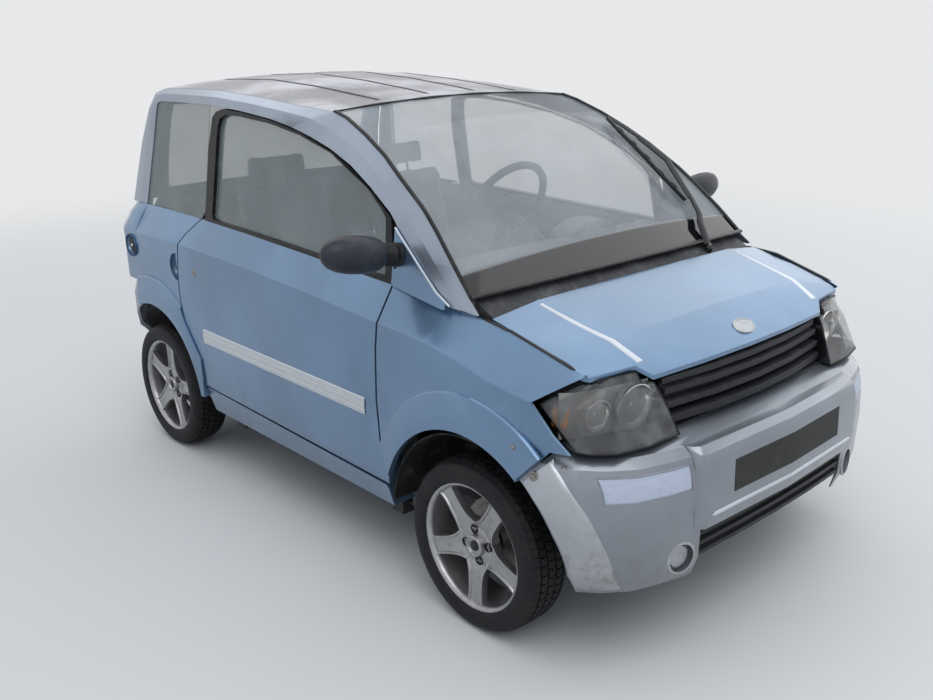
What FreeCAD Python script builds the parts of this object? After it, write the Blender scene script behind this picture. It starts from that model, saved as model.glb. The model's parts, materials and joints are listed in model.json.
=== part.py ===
import FreeCAD, Part
import math
import os
import Sketcher
from types import SimpleNamespace
from FreeCAD import Placement, Rotation, Vector

# A two-door microcar. It faces -Y, its left side is +X, the ground is z = 0, all in millimetres.
# Panels are drawn for the car's right side (-X) and mirrored to the left.

SIZES = {
    "front_axle_back": -803,
    "wheelbase": 1804,
    "half_width": 702,
    "sill_height": 300,
    "door_foot": 330,
    "belt_height": 955,
    "roof_edge_height": 1404,
    "cabin_half_width": 630,
    "side_lean": 0.155,
    "panel_wall": 7,
    "door_wall": 58,
    "shut_gap": 7,
    "hinge_gap": 8,
    "hinge_out": 690,
    "hinge_back": -415,
    "hinge_pin_radius": 4,
    "hinge_eye_radius": 7.5,
    "hinge_height": 36,
    "bonnet_hinge_back": -812.5,
    "bonnet_hinge_height": 895,
    "tail_hinge_back": 1099,
    "tail_hinge_height": 1407.5,
    "seat_gap": 0.3,
    "glass_wall": 4,
    "tyre_radius": 248,
    "tyre_half_width": 72,
    "tyre_bead_radius": 166,
    "tyre_shoulder": 22,
    "rim_radius": 181,
    "rim_half_width": 60,
    "rim_wall": 9,
    "rim_hub_radius": 62,
    "rim_window_outer": 150,
    "rim_window_inner": 84,
    "rim_bolt_circle": 48,
    "rim_bolt_radius": 9,
    "wheel_centre": 624,
    "kingpin_centre": 545,
    "kingpin_radius": 13,
    "kingpin_foot": 168,
    "kingpin_lean": 40,
    "strut_radius": 20,
    "hub_bore_radius": 20,
    "brake_radius": 112,
    "brake_wall": 12,
    "arch_radius": 342,
    "flare_radius": 415,
    "flare_rise": 35,
    "flare_shift": 12,
    "flare_swell": 13,
    "liner_radius": 326,
    "liner_wall": 5,
    "liner_inner": 428,
    "front_reach": 1352,
    "rear_reach": 1353,
    "bumper_foot": 246,
    "bumper_top": 618,
    "bumper_wall": 8,
    "bumper_pad_half": 388,
    "lower_grille_half": 358,
    "lower_grille_foot": 299,
    "lower_grille_top": 391,
    "rail_centre": 325,
    "rail_width": 50,
    "rail_foot": 150,
    "rail_rise": 62,
    "floor_wall": 8,
    "luggage_floor_height": 430,
    "bulkhead_back": -447,
    "bulkhead_wall": 31,
    "hinge_post_foot": 470,
    "shelf_half": 624,
    "bulkhead_half": 598,
    "jack_reach": 618,
    "scuttle_height": 862,
    "engine_half": 265,
    "engine_length": 370,
    "engine_rise": 400,
    "bonnet_wall": 18,
    "bonnet_half": 607,
    "mirror_root_back": -462,
    "mirror_root_height": 1002,
    "steering_centre_out": 240,
    "steering_centre_back": 5,
    "steering_centre_height": 968,
    "steering_wheel_radius": 182,
    "steering_rim_radius": 14,
    "column_radius": 17,
    "column_length": 300,
    "column_tilt": 28,
    "seat_centre_out": 292,
    "seat_half": 215,
    "seat_base_height": 430,
    "tow_eye_radius": 17,
    "tow_eye_wall": 9,
    "tow_eye_length": 12,
}

doc = FreeCAD.newDocument("Microcar")
sheet = doc.addObject("Spreadsheet::Sheet", "car")
for row, (alias, value) in enumerate(SIZES.items(), 1):
    sheet.set(f"A{row}", alias)
    sheet.set(f"B{row}", str(value))
    sheet.setAlias(f"B{row}", alias)
doc.recompute()
dim = SimpleNamespace(**{alias: float(sheet.get(alias)) for alias in SIZES})
nodes = []

front_axle = dim.front_axle_back
rear_axle = front_axle + dim.wheelbase
axle_height = dim.tyre_radius
fit = dim.seat_gap
far = 2000


# Document objects

def bind(item, **formulas):
    """Binds properties to formulas over the sheet."""
    for name, formula in formulas.items():
        item.setExpression(name.replace("__", "."), formula)
    return item


def block(name, low, size):
    """A box from formulas for its low corner and its three sizes."""
    item = doc.addObject("Part::Box", name)
    bind(item, Length=size[0], Width=size[1], Height=size[2])
    bind(item, Placement__Base__x=low[0], Placement__Base__y=low[1], Placement__Base__z=low[2])
    return item


def rod(name, base, radius, length, axis=(1, 0, 0)):
    """A cylinder from formulas, pointing along an axis."""
    item = doc.addObject("Part::Cylinder", name)
    item.Placement = Placement(Vector(), Rotation(Vector(0, 0, 1), Vector(*axis)))
    bind(item, Radius=radius, Height=length)
    bind(item, Placement__Base__x=base[0], Placement__Base__y=base[1], Placement__Base__z=base[2])
    return item


def fuse(name, items):
    item = doc.addObject("Part::MultiFuse", name)
    item.Shapes = items
    return item


def cut(name, base, tool):
    item = doc.addObject("Part::Cut", name)
    item.Base = base
    item.Tool = tool
    return item


def mirrored(name, source):
    item = doc.addObject("Part::Mirroring", name)
    item.Source = source
    item.Normal = Vector(1, 0, 0)
    return item


def both_sides(name, source):
    """A right-hand piece and its left-hand mirror image as one node."""
    item = doc.addObject("Part::Compound", name)
    item.Links = [source, mirrored(name + "_left", source)]
    return node(name, item)


def node(name, item):
    item.Label = name
    nodes.append(item)
    return item


def feature(name, shape):
    item = doc.addObject("Part::Feature", name)
    item.Shape = shape
    item.Placement = Placement()
    return node(name, item)


# Shape helpers

def polygon(points):
    return Part.makePolygon([Vector(*p) for p in points] + [Vector(*points[0])])


def side_prism(outline, inner=0, outer=far):
    """A (y, z) outline, filled between two distances from the middle on the right-hand side."""
    face = Part.Face(polygon([(-outer, y, z) for y, z in outline]))
    return face.extrude(Vector(outer - inner, 0, 0))


def front_prism(outline, low=-far, high=far):
    """An (x, z) outline filled along Y."""
    face = Part.Face(polygon([(x, low, z) for x, z in outline]))
    return face.extrude(Vector(0, high - low, 0))


def plan_prism(outline, low=0, high=far):
    """An (x, y) outline filled along Z."""
    face = Part.Face(polygon([(x, y, low) for x, y in outline]))
    return face.extrude(Vector(0, 0, high - low))


def loft(sections):
    return Part.makeLoft([polygon(points) for points in sections], True, True)


def faceted(sections):
    """A solid through sections of equal point counts, with its skin in flat triangles."""
    rows = [[Vector(*p) for p in points] for points in sections]
    count = len(rows[0])
    corners = []
    for first, second in zip(rows, rows[1:]):
        for i in range(count):
            j = (i + 1) % count
            corners.append((first[i], first[j], second[j]))
            corners.append((first[i], second[j], second[i]))
    for end in (rows[0], rows[-1]):
        for i in range(count // 2):
            j = count - 1 - i
            corners += [(end[i], end[i + 1], end[j]), (end[i + 1], end[j - 1], end[j])]
    faces = [
        Part.Face(Part.makePolygon([a, b, c, a])) for a, b, c in corners
        if (b - a).cross(c - a).Length > 0.01
    ]
    solid = Part.Solid(Part.makeShell(faces))
    if solid.Volume < 0:
        solid.reverse()
    return solid


def cylinder_x(y, z, radius, inner, outer):
    """A cylinder along X on the right-hand side."""
    return Part.makeCylinder(radius, outer - inner, Vector(-outer, y, z), Vector(1, 0, 0))


def mirror(shape):
    return shape.mirror(Vector(), Vector(1, 0, 0))


def pair(shape):
    return Part.makeCompound([shape, mirror(shape)])


def box(low, high):
    return Part.makeBox(*(b - a for a, b in zip(low, high)), Vector(*low))


def one_solid(shape):
    """The largest solid of a shape, as a clean solid."""
    solids = sorted(shape.Solids, key=lambda solid: solid.Volume)
    return solids[-1].removeSplitter()


def front(distance):
    """A place along the car, measured back from the front axle."""
    return front_axle + distance


def rear(distance):
    """A place along the car, measured back from the rear axle."""
    return rear_axle + distance


def lean(z, inset=0):
    """Half the cabin's width at a height, less an inset."""
    return dim.cabin_half_width - dim.side_lean * (z - dim.belt_height) - inset


def glass_height(share):
    """A height between the belt line, 0, and the roof's edge, 1."""
    return dim.belt_height + share * (dim.roof_edge_height - dim.belt_height)


# Lower body side. Columns: place along the car, distance of the side in from the full half width,
# height of the shoulder crease, and how far in and how high the panel's top edge is.
SIDE_STATIONS = [
    (front(-377), 47, 722, 112, 790),
    (front(-297), 16, 732, 96, 815),
    (front(-197), 4, 742, 86, 842),
    (front(-87), 1, 757, 82, 872),
    (front(23), 0, 783, 81, 881),
    (front(148), 0, 803, 80, 886),
    (front(363), 0, 816, 68, 912),
    (front(803), 0, 842, 69, 932),
    (rear(-601), 0, 858, 72, 947),
    (rear(-266), 0, 864, 73, 956),
    (rear(-51), 2, 862, 73, 960),
    (rear(129), 8, 856, 73, 960),
]


def side_skin(wall):
    """The right-hand body side from sill to belt, as thick as wall."""
    sections = []
    for y, side_in, crease, top_in, top in SIDE_STATIONS:
        side = dim.half_width - side_in
        edge = dim.half_width - top_in
        sections.append([
            (-side + 12, y, dim.sill_height),
            (-side, y, dim.sill_height + 50),
            (-side, y, crease),
            (-edge, y, top),
            (-edge + wall, y, top),
            (-side + wall, y, crease - wall / 3),
            (-side + wall, y, dim.sill_height + 50),
            (-side + wall + 12, y, dim.sill_height),
        ])
    return loft(sections)


def flare(axle, shift):
    """The swollen lip round a wheel arch, with a small step along its outer edge."""
    outer = dim.flare_radius
    inner = dim.arch_radius - 60
    side = dim.half_width
    swell = dim.flare_swell
    wall = dim.panel_wall
    back = axle + shift
    middle = axle_height + dim.flare_rise
    ring = Part.Face(polygon([
        (-side + wall, back, middle + outer),
        (-side, back, middle + outer),
        (-side - 5, back, middle + outer - 4),
        (-side - swell, back, middle + outer - 70),
        (-side - swell, back, middle + inner),
        (-side + wall, back, middle + inner),
    ]))
    return ring.revolve(Vector(0, back, middle), Vector(1, 0, 0), 360)


def arch(axle, radius=dim.arch_radius):
    return cylinder_x(axle, axle_height, radius, 0, far)


# Door outline. Columns: place along the car, height.
DOOR_FRONT = [
    (front(314), dim.door_foot - 5),
    (front(372), 456),
    (front(382), 578),
    (front(376), 732),
    (front(363), 820),
    (front(371), 915),
]
DOOR_REAR = [
    (rear(-346), 985),
    (rear(-301), 940),
    (rear(-266), 900),
    (rear(-249), 850),
    (rear(-232), 760),
    (rear(-225), 687),
    (rear(-232), 611),
    (rear(-250), 572),
    (rear(-311), 500),
    (rear(-356), 447),
    (rear(-364), 380),
    (rear(-364), dim.door_foot + 17),
]


def shifted(points, distance):
    return [(y + distance, z) for y, z in points]


door_outline = DOOR_FRONT + [(front(371), 1100)] + [(rear(-346), 1100)] + DOOR_REAR
door_skin = side_skin(dim.door_wall)
door_shell = door_skin.common(side_prism(door_outline, 400, 760))
door_shell = door_shell.cut(arch(front_axle, dim.arch_radius + dim.shut_gap))

# Door hinges: each pin stands in a pocket of the door, and an arm of the hinge post holds it.
HINGE_HEIGHTS = (500, 700)
hinge_inner = dim.half_width - dim.door_wall - 10
for z in HINGE_HEIGHTS:
    pocket = plan_prism([
        (-dim.hinge_out - 9, front(300)), (-dim.hinge_out - 9, dim.hinge_back + 10),
        (-hinge_inner, dim.hinge_back + 10),
        (-hinge_inner, front(300)),
    ], z, z + dim.hinge_height)
    pin_foot = Vector(-dim.hinge_out, dim.hinge_back, z - 10)
    pin = Part.makeCylinder(dim.hinge_pin_radius, dim.hinge_height + 20, pin_foot)
    door_shell = door_shell.cut(pocket).fuse(pin)
door_shell = one_solid(door_shell)

gap = dim.shut_gap
fender_outline = [
    (front(-320), 801),
    (front(-231), 738),
    (front(-338), 625),
    (front(-290), 625),
    (front(-201), 531),
    (front(-201), dim.sill_height),
    (front(308), dim.sill_height),
] + shifted(DOOR_FRONT, -dim.hinge_gap) + [(front(363), 1000), (front(-320), 1000)]
fender = side_skin(dim.panel_wall).fuse(flare(front_axle, -dim.flare_shift))
fender = fender.common(side_prism(fender_outline, 400, 760)).cut(arch(front_axle))
fender = one_solid(fender)

quarter_outline = [(rear(129), dim.sill_height), (rear(129), 1000), (rear(-340), 1000)]
quarter_outline += shifted(DOOR_REAR, gap) + [(rear(-358), dim.sill_height)]
quarter_side = side_skin(dim.panel_wall).fuse(flare(rear_axle, dim.flare_shift))
quarter_side = quarter_side.common(side_prism(quarter_outline, 400, 760))

# Rear corner. Columns: height, side's distance in from the full half width, reach of the rear face.
REAR_LEVELS = [
    (dim.sill_height, 20, -26),
    (dim.sill_height + 50, 8, -20),
    (856, 8, -16),
    (915, 40, -30),
    (960, 73, -46),
]
TAIL_HALF = 526
LAMP_LOW = 700
LAMP_HIGH = 900


def rear_corner(inset, half, levels):
    """The outline of the rear corners at each level, drawn in by an inset."""
    sections = []
    for z, side_in, reach_in in levels:
        side = dim.half_width - side_in - inset
        reach = dim.rear_reach + reach_in - inset
        sections.append([
            (-side, rear(129), z),
            (-side + 4, reach - 95, z),
            (-side + 26, reach - 38, z),
            (-side + 80, reach - 12, z),
            (-half, reach, z),
            (-half, rear(129), z),
        ])
    return loft(sections)


corner_shell = rear_corner(0, TAIL_HALF, REAR_LEVELS)
corner_core = rear_corner(dim.panel_wall, TAIL_HALF - 1, REAR_LEVELS)
corner_shell = corner_shell.cut(corner_core.translated(Vector(0, -0.01, 0)))
BUMPER_SEAM = 660
above_seam = Part.makeBox(far, far, far, Vector(-far, 0, BUMPER_SEAM))
corner_upper = corner_shell.common(above_seam)
lamp_cut = Part.makeBox(130, 200, LAMP_HIGH - LAMP_LOW, Vector(-TAIL_HALF - 128, rear(255), LAMP_LOW))
quarter = quarter_side.common(side_prism([
    (rear(-400), dim.sill_height), (rear(129), dim.sill_height), (rear(129), 1000), (rear(-400), 1000)
], 400, 760))
seam_cut = Part.makeBox(400, 400, BUMPER_SEAM - dim.sill_height, Vector(-800, rear(190), dim.sill_height))
quarter = quarter.fuse(corner_upper.cut(lamp_cut)).cut(arch(rear_axle)).cut(seam_cut)
filler = cylinder_x(rear(170), 800, 44, 600, 800)
quarter_right = one_solid(quarter.cut(filler))
quarter_left = mirror(one_solid(quarter))

feature("front_fenders", pair(fender))
feature("rear_quarters", Part.makeCompound([quarter_right, quarter_left]))
feature("door_shell_right", door_shell)
feature("door_shell_left", mirror(door_shell))

# Sill: a box section under each door.
sill = loft([
    [
        (-dim.half_width + 12, y, dim.sill_height),
        (-dim.half_width + 2, y, door_foot - gap),
        (-dim.bulkhead_half, y, door_foot - gap),
        (-dim.bulkhead_half, y, dim.sill_height - 60),
        (-dim.half_width + 30, y, dim.sill_height - 60),
    ]
    for y, door_foot in ((front(352), dim.door_foot - 5), (rear(-364), dim.door_foot + 17))
])
feature("sills", pair(sill))

# Silver arch: windscreen pillar, roof rail and rear pillar in one band.
# Columns: lower edge (y, height share), upper edge (y, height share, x), inner drop of the upper edge
# (x, y, z), and how far the middle of the pane beside it stands ahead of the edge and above it.
ARCH_STATIONS = [
    (front(113), -0.135, front(13), -0.145, 628, 0, 14, -4, 42, 10),
    (front(170), -0.062, front(58), -0.067, 621, 0, 14, -14, 42, 12),
    (front(254), 0.074, front(139), 0.100, 610, 0, 14, -14, 44, 16),
    (front(351), 0.236, front(226), 0.267, 592, 0, 14, -14, 44, 19),
    (front(402), 0.339, front(291), 0.379, 580, 0, 14, -14, 43, 20),
    (front(503), 0.474, front(411), 0.546, 565, 0, 13, -15, 40, 22),
    (front(607), 0.592, front(498), 0.657, 547, 0, 12, -16, 37, 23),
    (front(714), 0.677, front(604), 0.768, 532, 0, 10, -17, 32, 24),
    (front(823), 0.739, front(713), 0.862, 518, 0, 8, -18, 26, 24),
    (front(932), 0.789, front(780), 0.899, 514, 0, 6, -18, 22, 26),
    (front(942), 0.793, front(790), 0.904, 514, 0, 6, -18, 22, 26),
    (front(1061), 0.831, front(944), 0.929, 526, 0, 3, -18, 14, 33),
    (rear(-551), 0.866, rear(-621), 0.969, 530, 0, 0, -20, 6, 38),
    (rear(-351), 0.888, rear(-351), 1.000, 530, 0, 0, -20, 0, 40),
    (rear(-121), 0.890, rear(-121), 0.998, 530, 0, 0, -20, 0, 36),
    (rear(39), 0.885, rear(39), 0.993, 533, 0, 0, -20, 0, 32),
    (rear(66), 0.872, rear(80), 0.975, 541, 0, -4, -18, -14, 28),
    (rear(71), 0.860, rear(104), 0.950, 556, -24, -10, -12, 0, 0),
    (rear(79), 0.820, rear(142), 0.820, 573, -24, -16, -6, 0, 0),
    (rear(95), 0.550, rear(196), 0.550, 590, -24, -18, -2, 0, 0),
    (rear(117), 0.250, rear(235), 0.250, 609, -24, -20, 0, 0, 0),
    (rear(133), 0.012, rear(253), 0.012, 629, -24, -20, 0, 0, 0),
]
SCREEN_ROWS = slice(1, 10)
ROOF_ROWS = slice(10, 17)


def arch_section(row):
    low_y, low_share, high_y, high_share, high_out, drop_x, drop_y, drop_z = row[:8]
    low_z = glass_height(low_share)
    high_z = glass_height(high_share)
    high_out += dim.cabin_half_width - 630
    swell = 7 if low_share > 0.75 and drop_x == 0 else 2
    return [
        (-lean(low_z), low_y, low_z),
        (-(lean(low_z) + high_out) / 2 - swell, (low_y + high_y) / 2, (low_z + high_z) / 2 + swell / 2),
        (-high_out, high_y, high_z),
        (-high_out - drop_x, high_y + drop_y, high_z + drop_z),
        (-lean(low_z) + 26, low_y, low_z),
    ]


feature("pillar_arches", pair(faceted([arch_section(row) for row in ARCH_STATIONS])))

# Sail panel: the triangle between pillar, door and wing that carries the mirror.
def slab(low_inset, high_inset):
    """The right-hand cabin side as a leaning plate between two insets."""
    foot = dim.belt_height - 100
    top = dim.roof_edge_height
    return front_prism([
        (-lean(foot, low_inset), foot), (-lean(top, low_inset), top),
        (-lean(top, high_inset), top), (-lean(foot, high_inset), foot),
    ])


sail_outline = [
    (front(131), 886.4), (front(148), 886.4), (front(362), 912.3),
    (front(366), glass_height(0.264)), (front(351), glass_height(0.234)), (front(254), glass_height(0.072)),
    (front(170), glass_height(-0.064)), (front(131), glass_height(-0.114)),
]
sail = one_solid(side_prism(sail_outline, 400, 760).common(slab(-8, 22)))
feature("sail_panels", pair(sail))

# Window frames and glass. Columns: place along the car, share of the glass height.
FRAME_OUTER = [
    (front(803), -0.050), (front(371), -0.094), (front(374), 0.10), (front(397), 0.312), (front(503), 0.456),
    (front(607), 0.575),
    (front(714), 0.662), (front(882), 0.756), (front(1061), 0.819), (rear(-551), 0.854), (rear(-427), 0.868),
    (rear(-385), 0.845), (rear(-360), 0.800), (rear(-341), 0.540), (rear(-341), -0.001), (rear(-601), -0.017),
]
FRAME_INNER = [
    (front(402), -0.060), (front(420), 0.300), (front(440), 0.345), (front(502), 0.444), (front(606), 0.569),
    (front(713), 0.652), (front(880), 0.739), (front(1059), 0.797), (rear(-553), 0.826), (rear(-451), 0.828),
    (rear(-412), 0.790), (rear(-400), 0.700), (rear(-391), 0.054), (rear(-400), 0.022),
]


def window(points, inset=0):
    face = Part.Face(polygon([(-760, y, glass_height(share)) for y, share in points]))
    if inset:
        face = face.makeOffset2D(-inset, 2)
    return face.extrude(Vector(360, 0, 0))


frame_ring = window(FRAME_OUTER).cut(window(FRAME_INNER))
door_frame = one_solid(frame_ring.common(slab(0, 32)))
door_glass = one_solid(window(FRAME_INNER, dim.seat_gap).common(slab(12, 12 + dim.glass_wall)))
for name, shape in (("door_frame", door_frame), ("door_glass", door_glass)):
    feature(name + "_right", shape)
    feature(name + "_left", mirror(shape))

QUARTER_WINDOW = [
    (rear(-304), 0.001), (rear(-327), 0.05), (rear(-333), 0.08), (rear(-333), 0.8865), (rear(-121), 0.8885),
    (rear(37), 0.884), (rear(64), 0.871),
    (rear(69), 0.859), (rear(77), 0.819), (rear(93), 0.549), (rear(115), 0.249), (rear(131), 0.012),
    (rear(-51), 0.012), (rear(-266), 0.003),
]
quarter_glass = one_solid(window(QUARTER_WINDOW).common(slab(4, 4 + dim.glass_wall)))
feature("quarter_glass", pair(quarter_glass))

# Panes and roof: bowed from side to side between the arches.

def bowed(stations, wall_y, wall_z, steps=8):
    """A bowed panel. Stations give height, place, half width, and the middle's lead and rise."""
    sections = []
    for z, y, out, ahead, up in stations:
        row = []
        for i in range(steps + 1):
            across = -1 + 2 * i / steps
            bow = 1 - across * across
            row.append((across * out, y - ahead * bow, z + up * bow))
        inner = [(x, y + wall_y, z + wall_z) for x, y, z in reversed(row)]
        sections.append(row + inner)
    return faceted(sections)


def between_arches(rows):
    """Stations of a panel whose side edges lie against the arches."""
    return [
        (glass_height(row[3]), row[2], row[4] + dim.cabin_half_width - 630 - dim.seat_gap, row[8], row[9])
        for row in ARCH_STATIONS[rows]
    ]


feature("windscreen", bowed(between_arches(SCREEN_ROWS), dim.glass_wall, -dim.glass_wall))
roof = bowed(between_arches(ROOF_ROWS), 0, -dim.floor_wall)
tail_axis = (dim.tail_hinge_back, dim.tail_hinge_height)
for inner in (296, 314):
    ear = cylinder_x(*tail_axis, 4.4, inner, inner + 6)
    ear = ear.fuse(box((-inner - 6, tail_axis[0] - 16, tail_axis[1] - 2), (-inner, tail_axis[0], tail_axis[1] + 4.4)))
    roof = roof.fuse(pair(ear))
roof = roof.fuse(pair(cylinder_x(*tail_axis, 2.5, 300, 316)))
feature("roof_panel", one_solid(roof))

# Tailgate, hinged at the roof. Columns: height share, place, half width, lead and rise of the middle.
TAIL_STATIONS = [
    (0.022, rear(249), 599, -52, 0),
    (0.28, rear(232), 576, -50, 0),
    (0.46, rear(210), 562, -48, 0),
    (0.72, rear(165), 545, -42, 4),
    (0.893, rear(122), 524, -34, 12),
    (0.960, rear(98), 506, -18, 26),
]
tail_stations = [(glass_height(share), y, out, ahead, up) for share, y, out, ahead, up in TAIL_STATIONS]
tail_frame = bowed(tail_stations, -26, -2)
TAIL_HALF_PANEL = TAIL_HALF - gap
tail_lower = bowed([
    (BUMPER_SEAM + gap, dim.rear_reach - 17, TAIL_HALF_PANEL, -17, 0),
    (856, dim.rear_reach - 16, TAIL_HALF_PANEL, -15, 0),
    (915, dim.rear_reach - 30, TAIL_HALF_PANEL, -24, 0),
    (glass_height(0.022), rear(249) + 12, TAIL_HALF_PANEL, -40, 0),
    (glass_height(0.06), rear(246) + 12, TAIL_HALF_PANEL, -40, 0),
], -30, 0)
glass_low = glass_height(0.10)
glass_high = glass_height(0.84)
glass_half = 482
window_cut = Part.makeBox(2 * glass_half, 400, glass_high - glass_low, Vector(-glass_half, rear(100), glass_low))
tail_eye = cylinder_x(*tail_axis, 6, 303, 313)
tail_eye = tail_eye.fuse(box((-313, tail_axis[0] - 4, tail_axis[1] - 12), (-303, tail_axis[0] + 6, tail_axis[1] - 3)))
tail_bore = cylinder_x(*tail_axis, 2.56, 0, far)
tail_shell = tail_frame.fuse(tail_lower).cut(window_cut).fuse(pair(tail_eye))
feature("tailgate_shell", one_solid(tail_shell.cut(pair(tail_bore.common(pair(tail_eye))))))
pane_box = Part.makeBox(2 * (glass_half - fit), 400, glass_high - glass_low - 2 * fit,
                        Vector(fit - glass_half, rear(100), glass_low + fit))
tail_glass = bowed(tail_stations, -26, -2).common(pane_box)
tail_glass = tail_glass.cut(tail_glass.translated(Vector(0, -dim.glass_wall, 0)))
feature("tailgate_glass", one_solid(tail_glass))

# Bumpers. Plan columns: distance in from the full half width, distance back from the reach.
FRONT_PLAN = [(702, 27), (311, 41), (232, 59), (142, 90), (77, 140), (38, 187), (14, 242), (2, 302), (0, 352)]
REAR_PLAN = [(702, 0), (302, 8), (176, 17), (102, 34), (50, 67), (18, 126), (4, 160), (4, 216)]
# Level columns: height above the bumper's foot, distance drawn in.
FRONT_LEVELS = [(0, 22), (54, 4), (184, 0), (294, 4), (339, 14), (360, 34), (372, 60)]
REAR_LEVELS_LOW = [(0, 24), (54, 6), (184, 0), (354, 0), (394, 8), (408, 22)]


def bumper_body(plan, levels, reach, sign, inset, back_shift):
    """The full-width bumper as a solid through its levels, drawn in by an inset."""
    sections = []
    for rise, drawn_in in levels:
        total = inset + drawn_in
        half = []
        for side_in, back in plan:
            out = max(dim.half_width - side_in - (total if side_in < 600 else 0), 0)
            half.append((out, sign * (reach - back - total)))
        half[-1] = (half[-1][0], half[-1][1] - sign * (back_shift - total))
        z = dim.bumper_foot + rise
        right = [(-x, y, z) for x, y in reversed(half)]
        left = [(x, y, z) for x, y in half[1:]]
        sections.append(right + left)
    return sections


def bumper_shell(plan, levels, reach, sign):
    outer = loft(bumper_body(plan, levels, reach, sign, 0, 0))
    core_levels = [(levels[0][0] - 20, levels[0][1])] + levels[1:-1]
    core_levels.append((levels[-1][0] - dim.bumper_wall, levels[-1][1]))
    core = loft(bumper_body(plan, core_levels, reach, sign, dim.bumper_wall, 60))
    return outer.cut(core)


bumper = bumper_shell(FRONT_PLAN, FRONT_LEVELS, dim.front_reach, -1)
pad_half = dim.bumper_pad_half
pad_back = -dim.front_reach + 90
# Pad plan: distance from the middle, distance back from the reach.
PAD_PLAN = [(0, 0), (pad_half - 22, 15), (pad_half - 7, 26), (pad_half + 2, 44)]
pad_half_plan = [(out, -dim.front_reach + back) for out, back in PAD_PLAN]
pad = loft([
    [(-out, y + drawn_in, z) for out, y in reversed(pad_half_plan)]
    + [(out, y + drawn_in, z) for out, y in pad_half_plan[1:]]
    + [(pad_half + 2, pad_back, z), (-pad_half - 2, pad_back, z)]
    for z, drawn_in in (
        (dim.lower_grille_top, 6), (dim.lower_grille_top + 40, 0), (558, 4),
        (592, 14), (dim.bumper_top - 10, 34),
    )
])
bumper = bumper.fuse(pad)
lower_opening = box((-dim.lower_grille_half, -far, 0), (dim.lower_grille_half, front(-300), dim.lower_grille_top))
bumper = bumper.cut(lower_opening)
ledge_foot = dim.bumper_top - 30
bumper = bumper.cut(box((-540, front(-400), ledge_foot), (540, front(-100), far)))
bumper = bumper.cut(box((-600, front(-345), ledge_foot), (600, front(-100), far)))
joint_line = [
    (front(-290.5), 700), (front(-290.5), 624.6), (front(-201.5), 530.6), (front(-201.5), 100), (front(200), 100),
    (front(200), 700),
]
wing_space = side_prism(joint_line)
bumper = bumper.cut(pair(wing_space)).cut(pair(arch(front_axle)))
bumper = one_solid(bumper)
feature("front_bumper", bumper)

rear_bumper = bumper_shell(REAR_PLAN, REAR_LEVELS_LOW, dim.rear_reach, 1)
rear_bumper = rear_bumper.cut(box((-far, 0, 0), (far, rear(129) + gap, far)))
rear_bumper = rear_bumper.cut(box((-600, rear(129), dim.bumper_foot + 380), (600, rear(300), 800)))
rear_bumper = one_solid(rear_bumper.cut(pair(arch(rear_axle))))
feature("rear_bumper", rear_bumper)

# Headlamps. Each level runs round one lamp from its inner front corner; columns (x, y).
LAMP_LEVELS = [
    (dim.bumper_top + 6, [(372, -441), (492, -437), (582, -414), (628, -374), (646, -338), (620, -260), (400, -300)]),
    (728, [(395, -392), (492, -383), (582, -361), (640, -310), (666, -236), (640, -205), (420, -280)]),
    (788, [(410, -352), (470, -349), (530, -341), (570, -331), (588, -322), (572, -285), (430, -300)]),
]
lamp = loft([[(-x, front(y), z) for x, y in points] for z, points in LAMP_LEVELS])

# Grille: a dark back panel behind curved bars between the lamps, and a lower grille in the bumper.
def bow_bar(half, edge_y, middle_y, low, high, depth):
    """A bar bowed forward in plan, between two heights."""
    front_edge = [(half * a, edge_y + (middle_y - edge_y) * (1 - a * a)) for a in (-1, -0.5, 0, 0.5, 1)]
    back_edge = [(x, y + depth) for x, y in reversed(front_edge)]
    return plan_prism(front_edge + back_edge, low, high)


BARS = [(640, 20, -410), (678, 16, -402), (712, 16, -392), (738, 16, -382)]
bars = [bow_bar(368, front(y + 8), front(y - 24), z, z + rise, 44) for z, rise, y in BARS]
grille = bow_bar(368, front(-366), front(-390), dim.bumper_top + 6, 754, 8)
for bar in bars:
    grille = grille.fuse(bar)
lower_half = dim.lower_grille_half - fit
lower_bars = [
    bow_bar(lower_half, -dim.front_reach + 46, -dim.front_reach + 36, z, z + 12, 24) for z in (302, 330, 358)
]
lower_panel = bow_bar(lower_half, -dim.front_reach + 58, -dim.front_reach + 48,
                      dim.lower_grille_foot, dim.lower_grille_top - fit, 12)
for bar in lower_bars:
    lower_panel = lower_panel.fuse(bar)
feature("grille", Part.makeCompound([one_solid(grille), one_solid(lower_panel)]))

# Bonnet, hinged at the scuttle. Columns: distance out, then the top line from the hinge forward (y, z).
BONNET_STATIONS = [
    (dim.bonnet_half, [(-11, 884), (-162, 850), (-262, 822), (-315, 803), (-321, 797)]),
    (442, [(-15, 904), (-162, 867), (-262, 843), (-338, 806), (-346, 799)]),
    (404, [(-15, 904), (-162, 869), (-262, 845), (-349, 800), (-374, 771)]),
    (200, [(-18, 907), (-162, 873), (-262, 849), (-356, 805), (-392, 774)]),
    (0, [(-20, 908), (-162, 874), (-262, 850), (-360, 806), (-398, 775)]),
]


def bonnet_section(out, line):
    """One lengthwise section of the bonnet, with its nose lip turned under."""
    top = [(out, front(y), z) for y, z in line]
    under = [(out, front(y), z - dim.bonnet_wall) for y, z in line[:3]]
    (top_y, top_z), (nose_y, nose_z) = line[3:]
    under.append((out, front(top_y + 14), top_z - dim.bonnet_wall))
    under.append((out, front(nose_y), nose_z - 12))
    return top + list(reversed(under))


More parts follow.
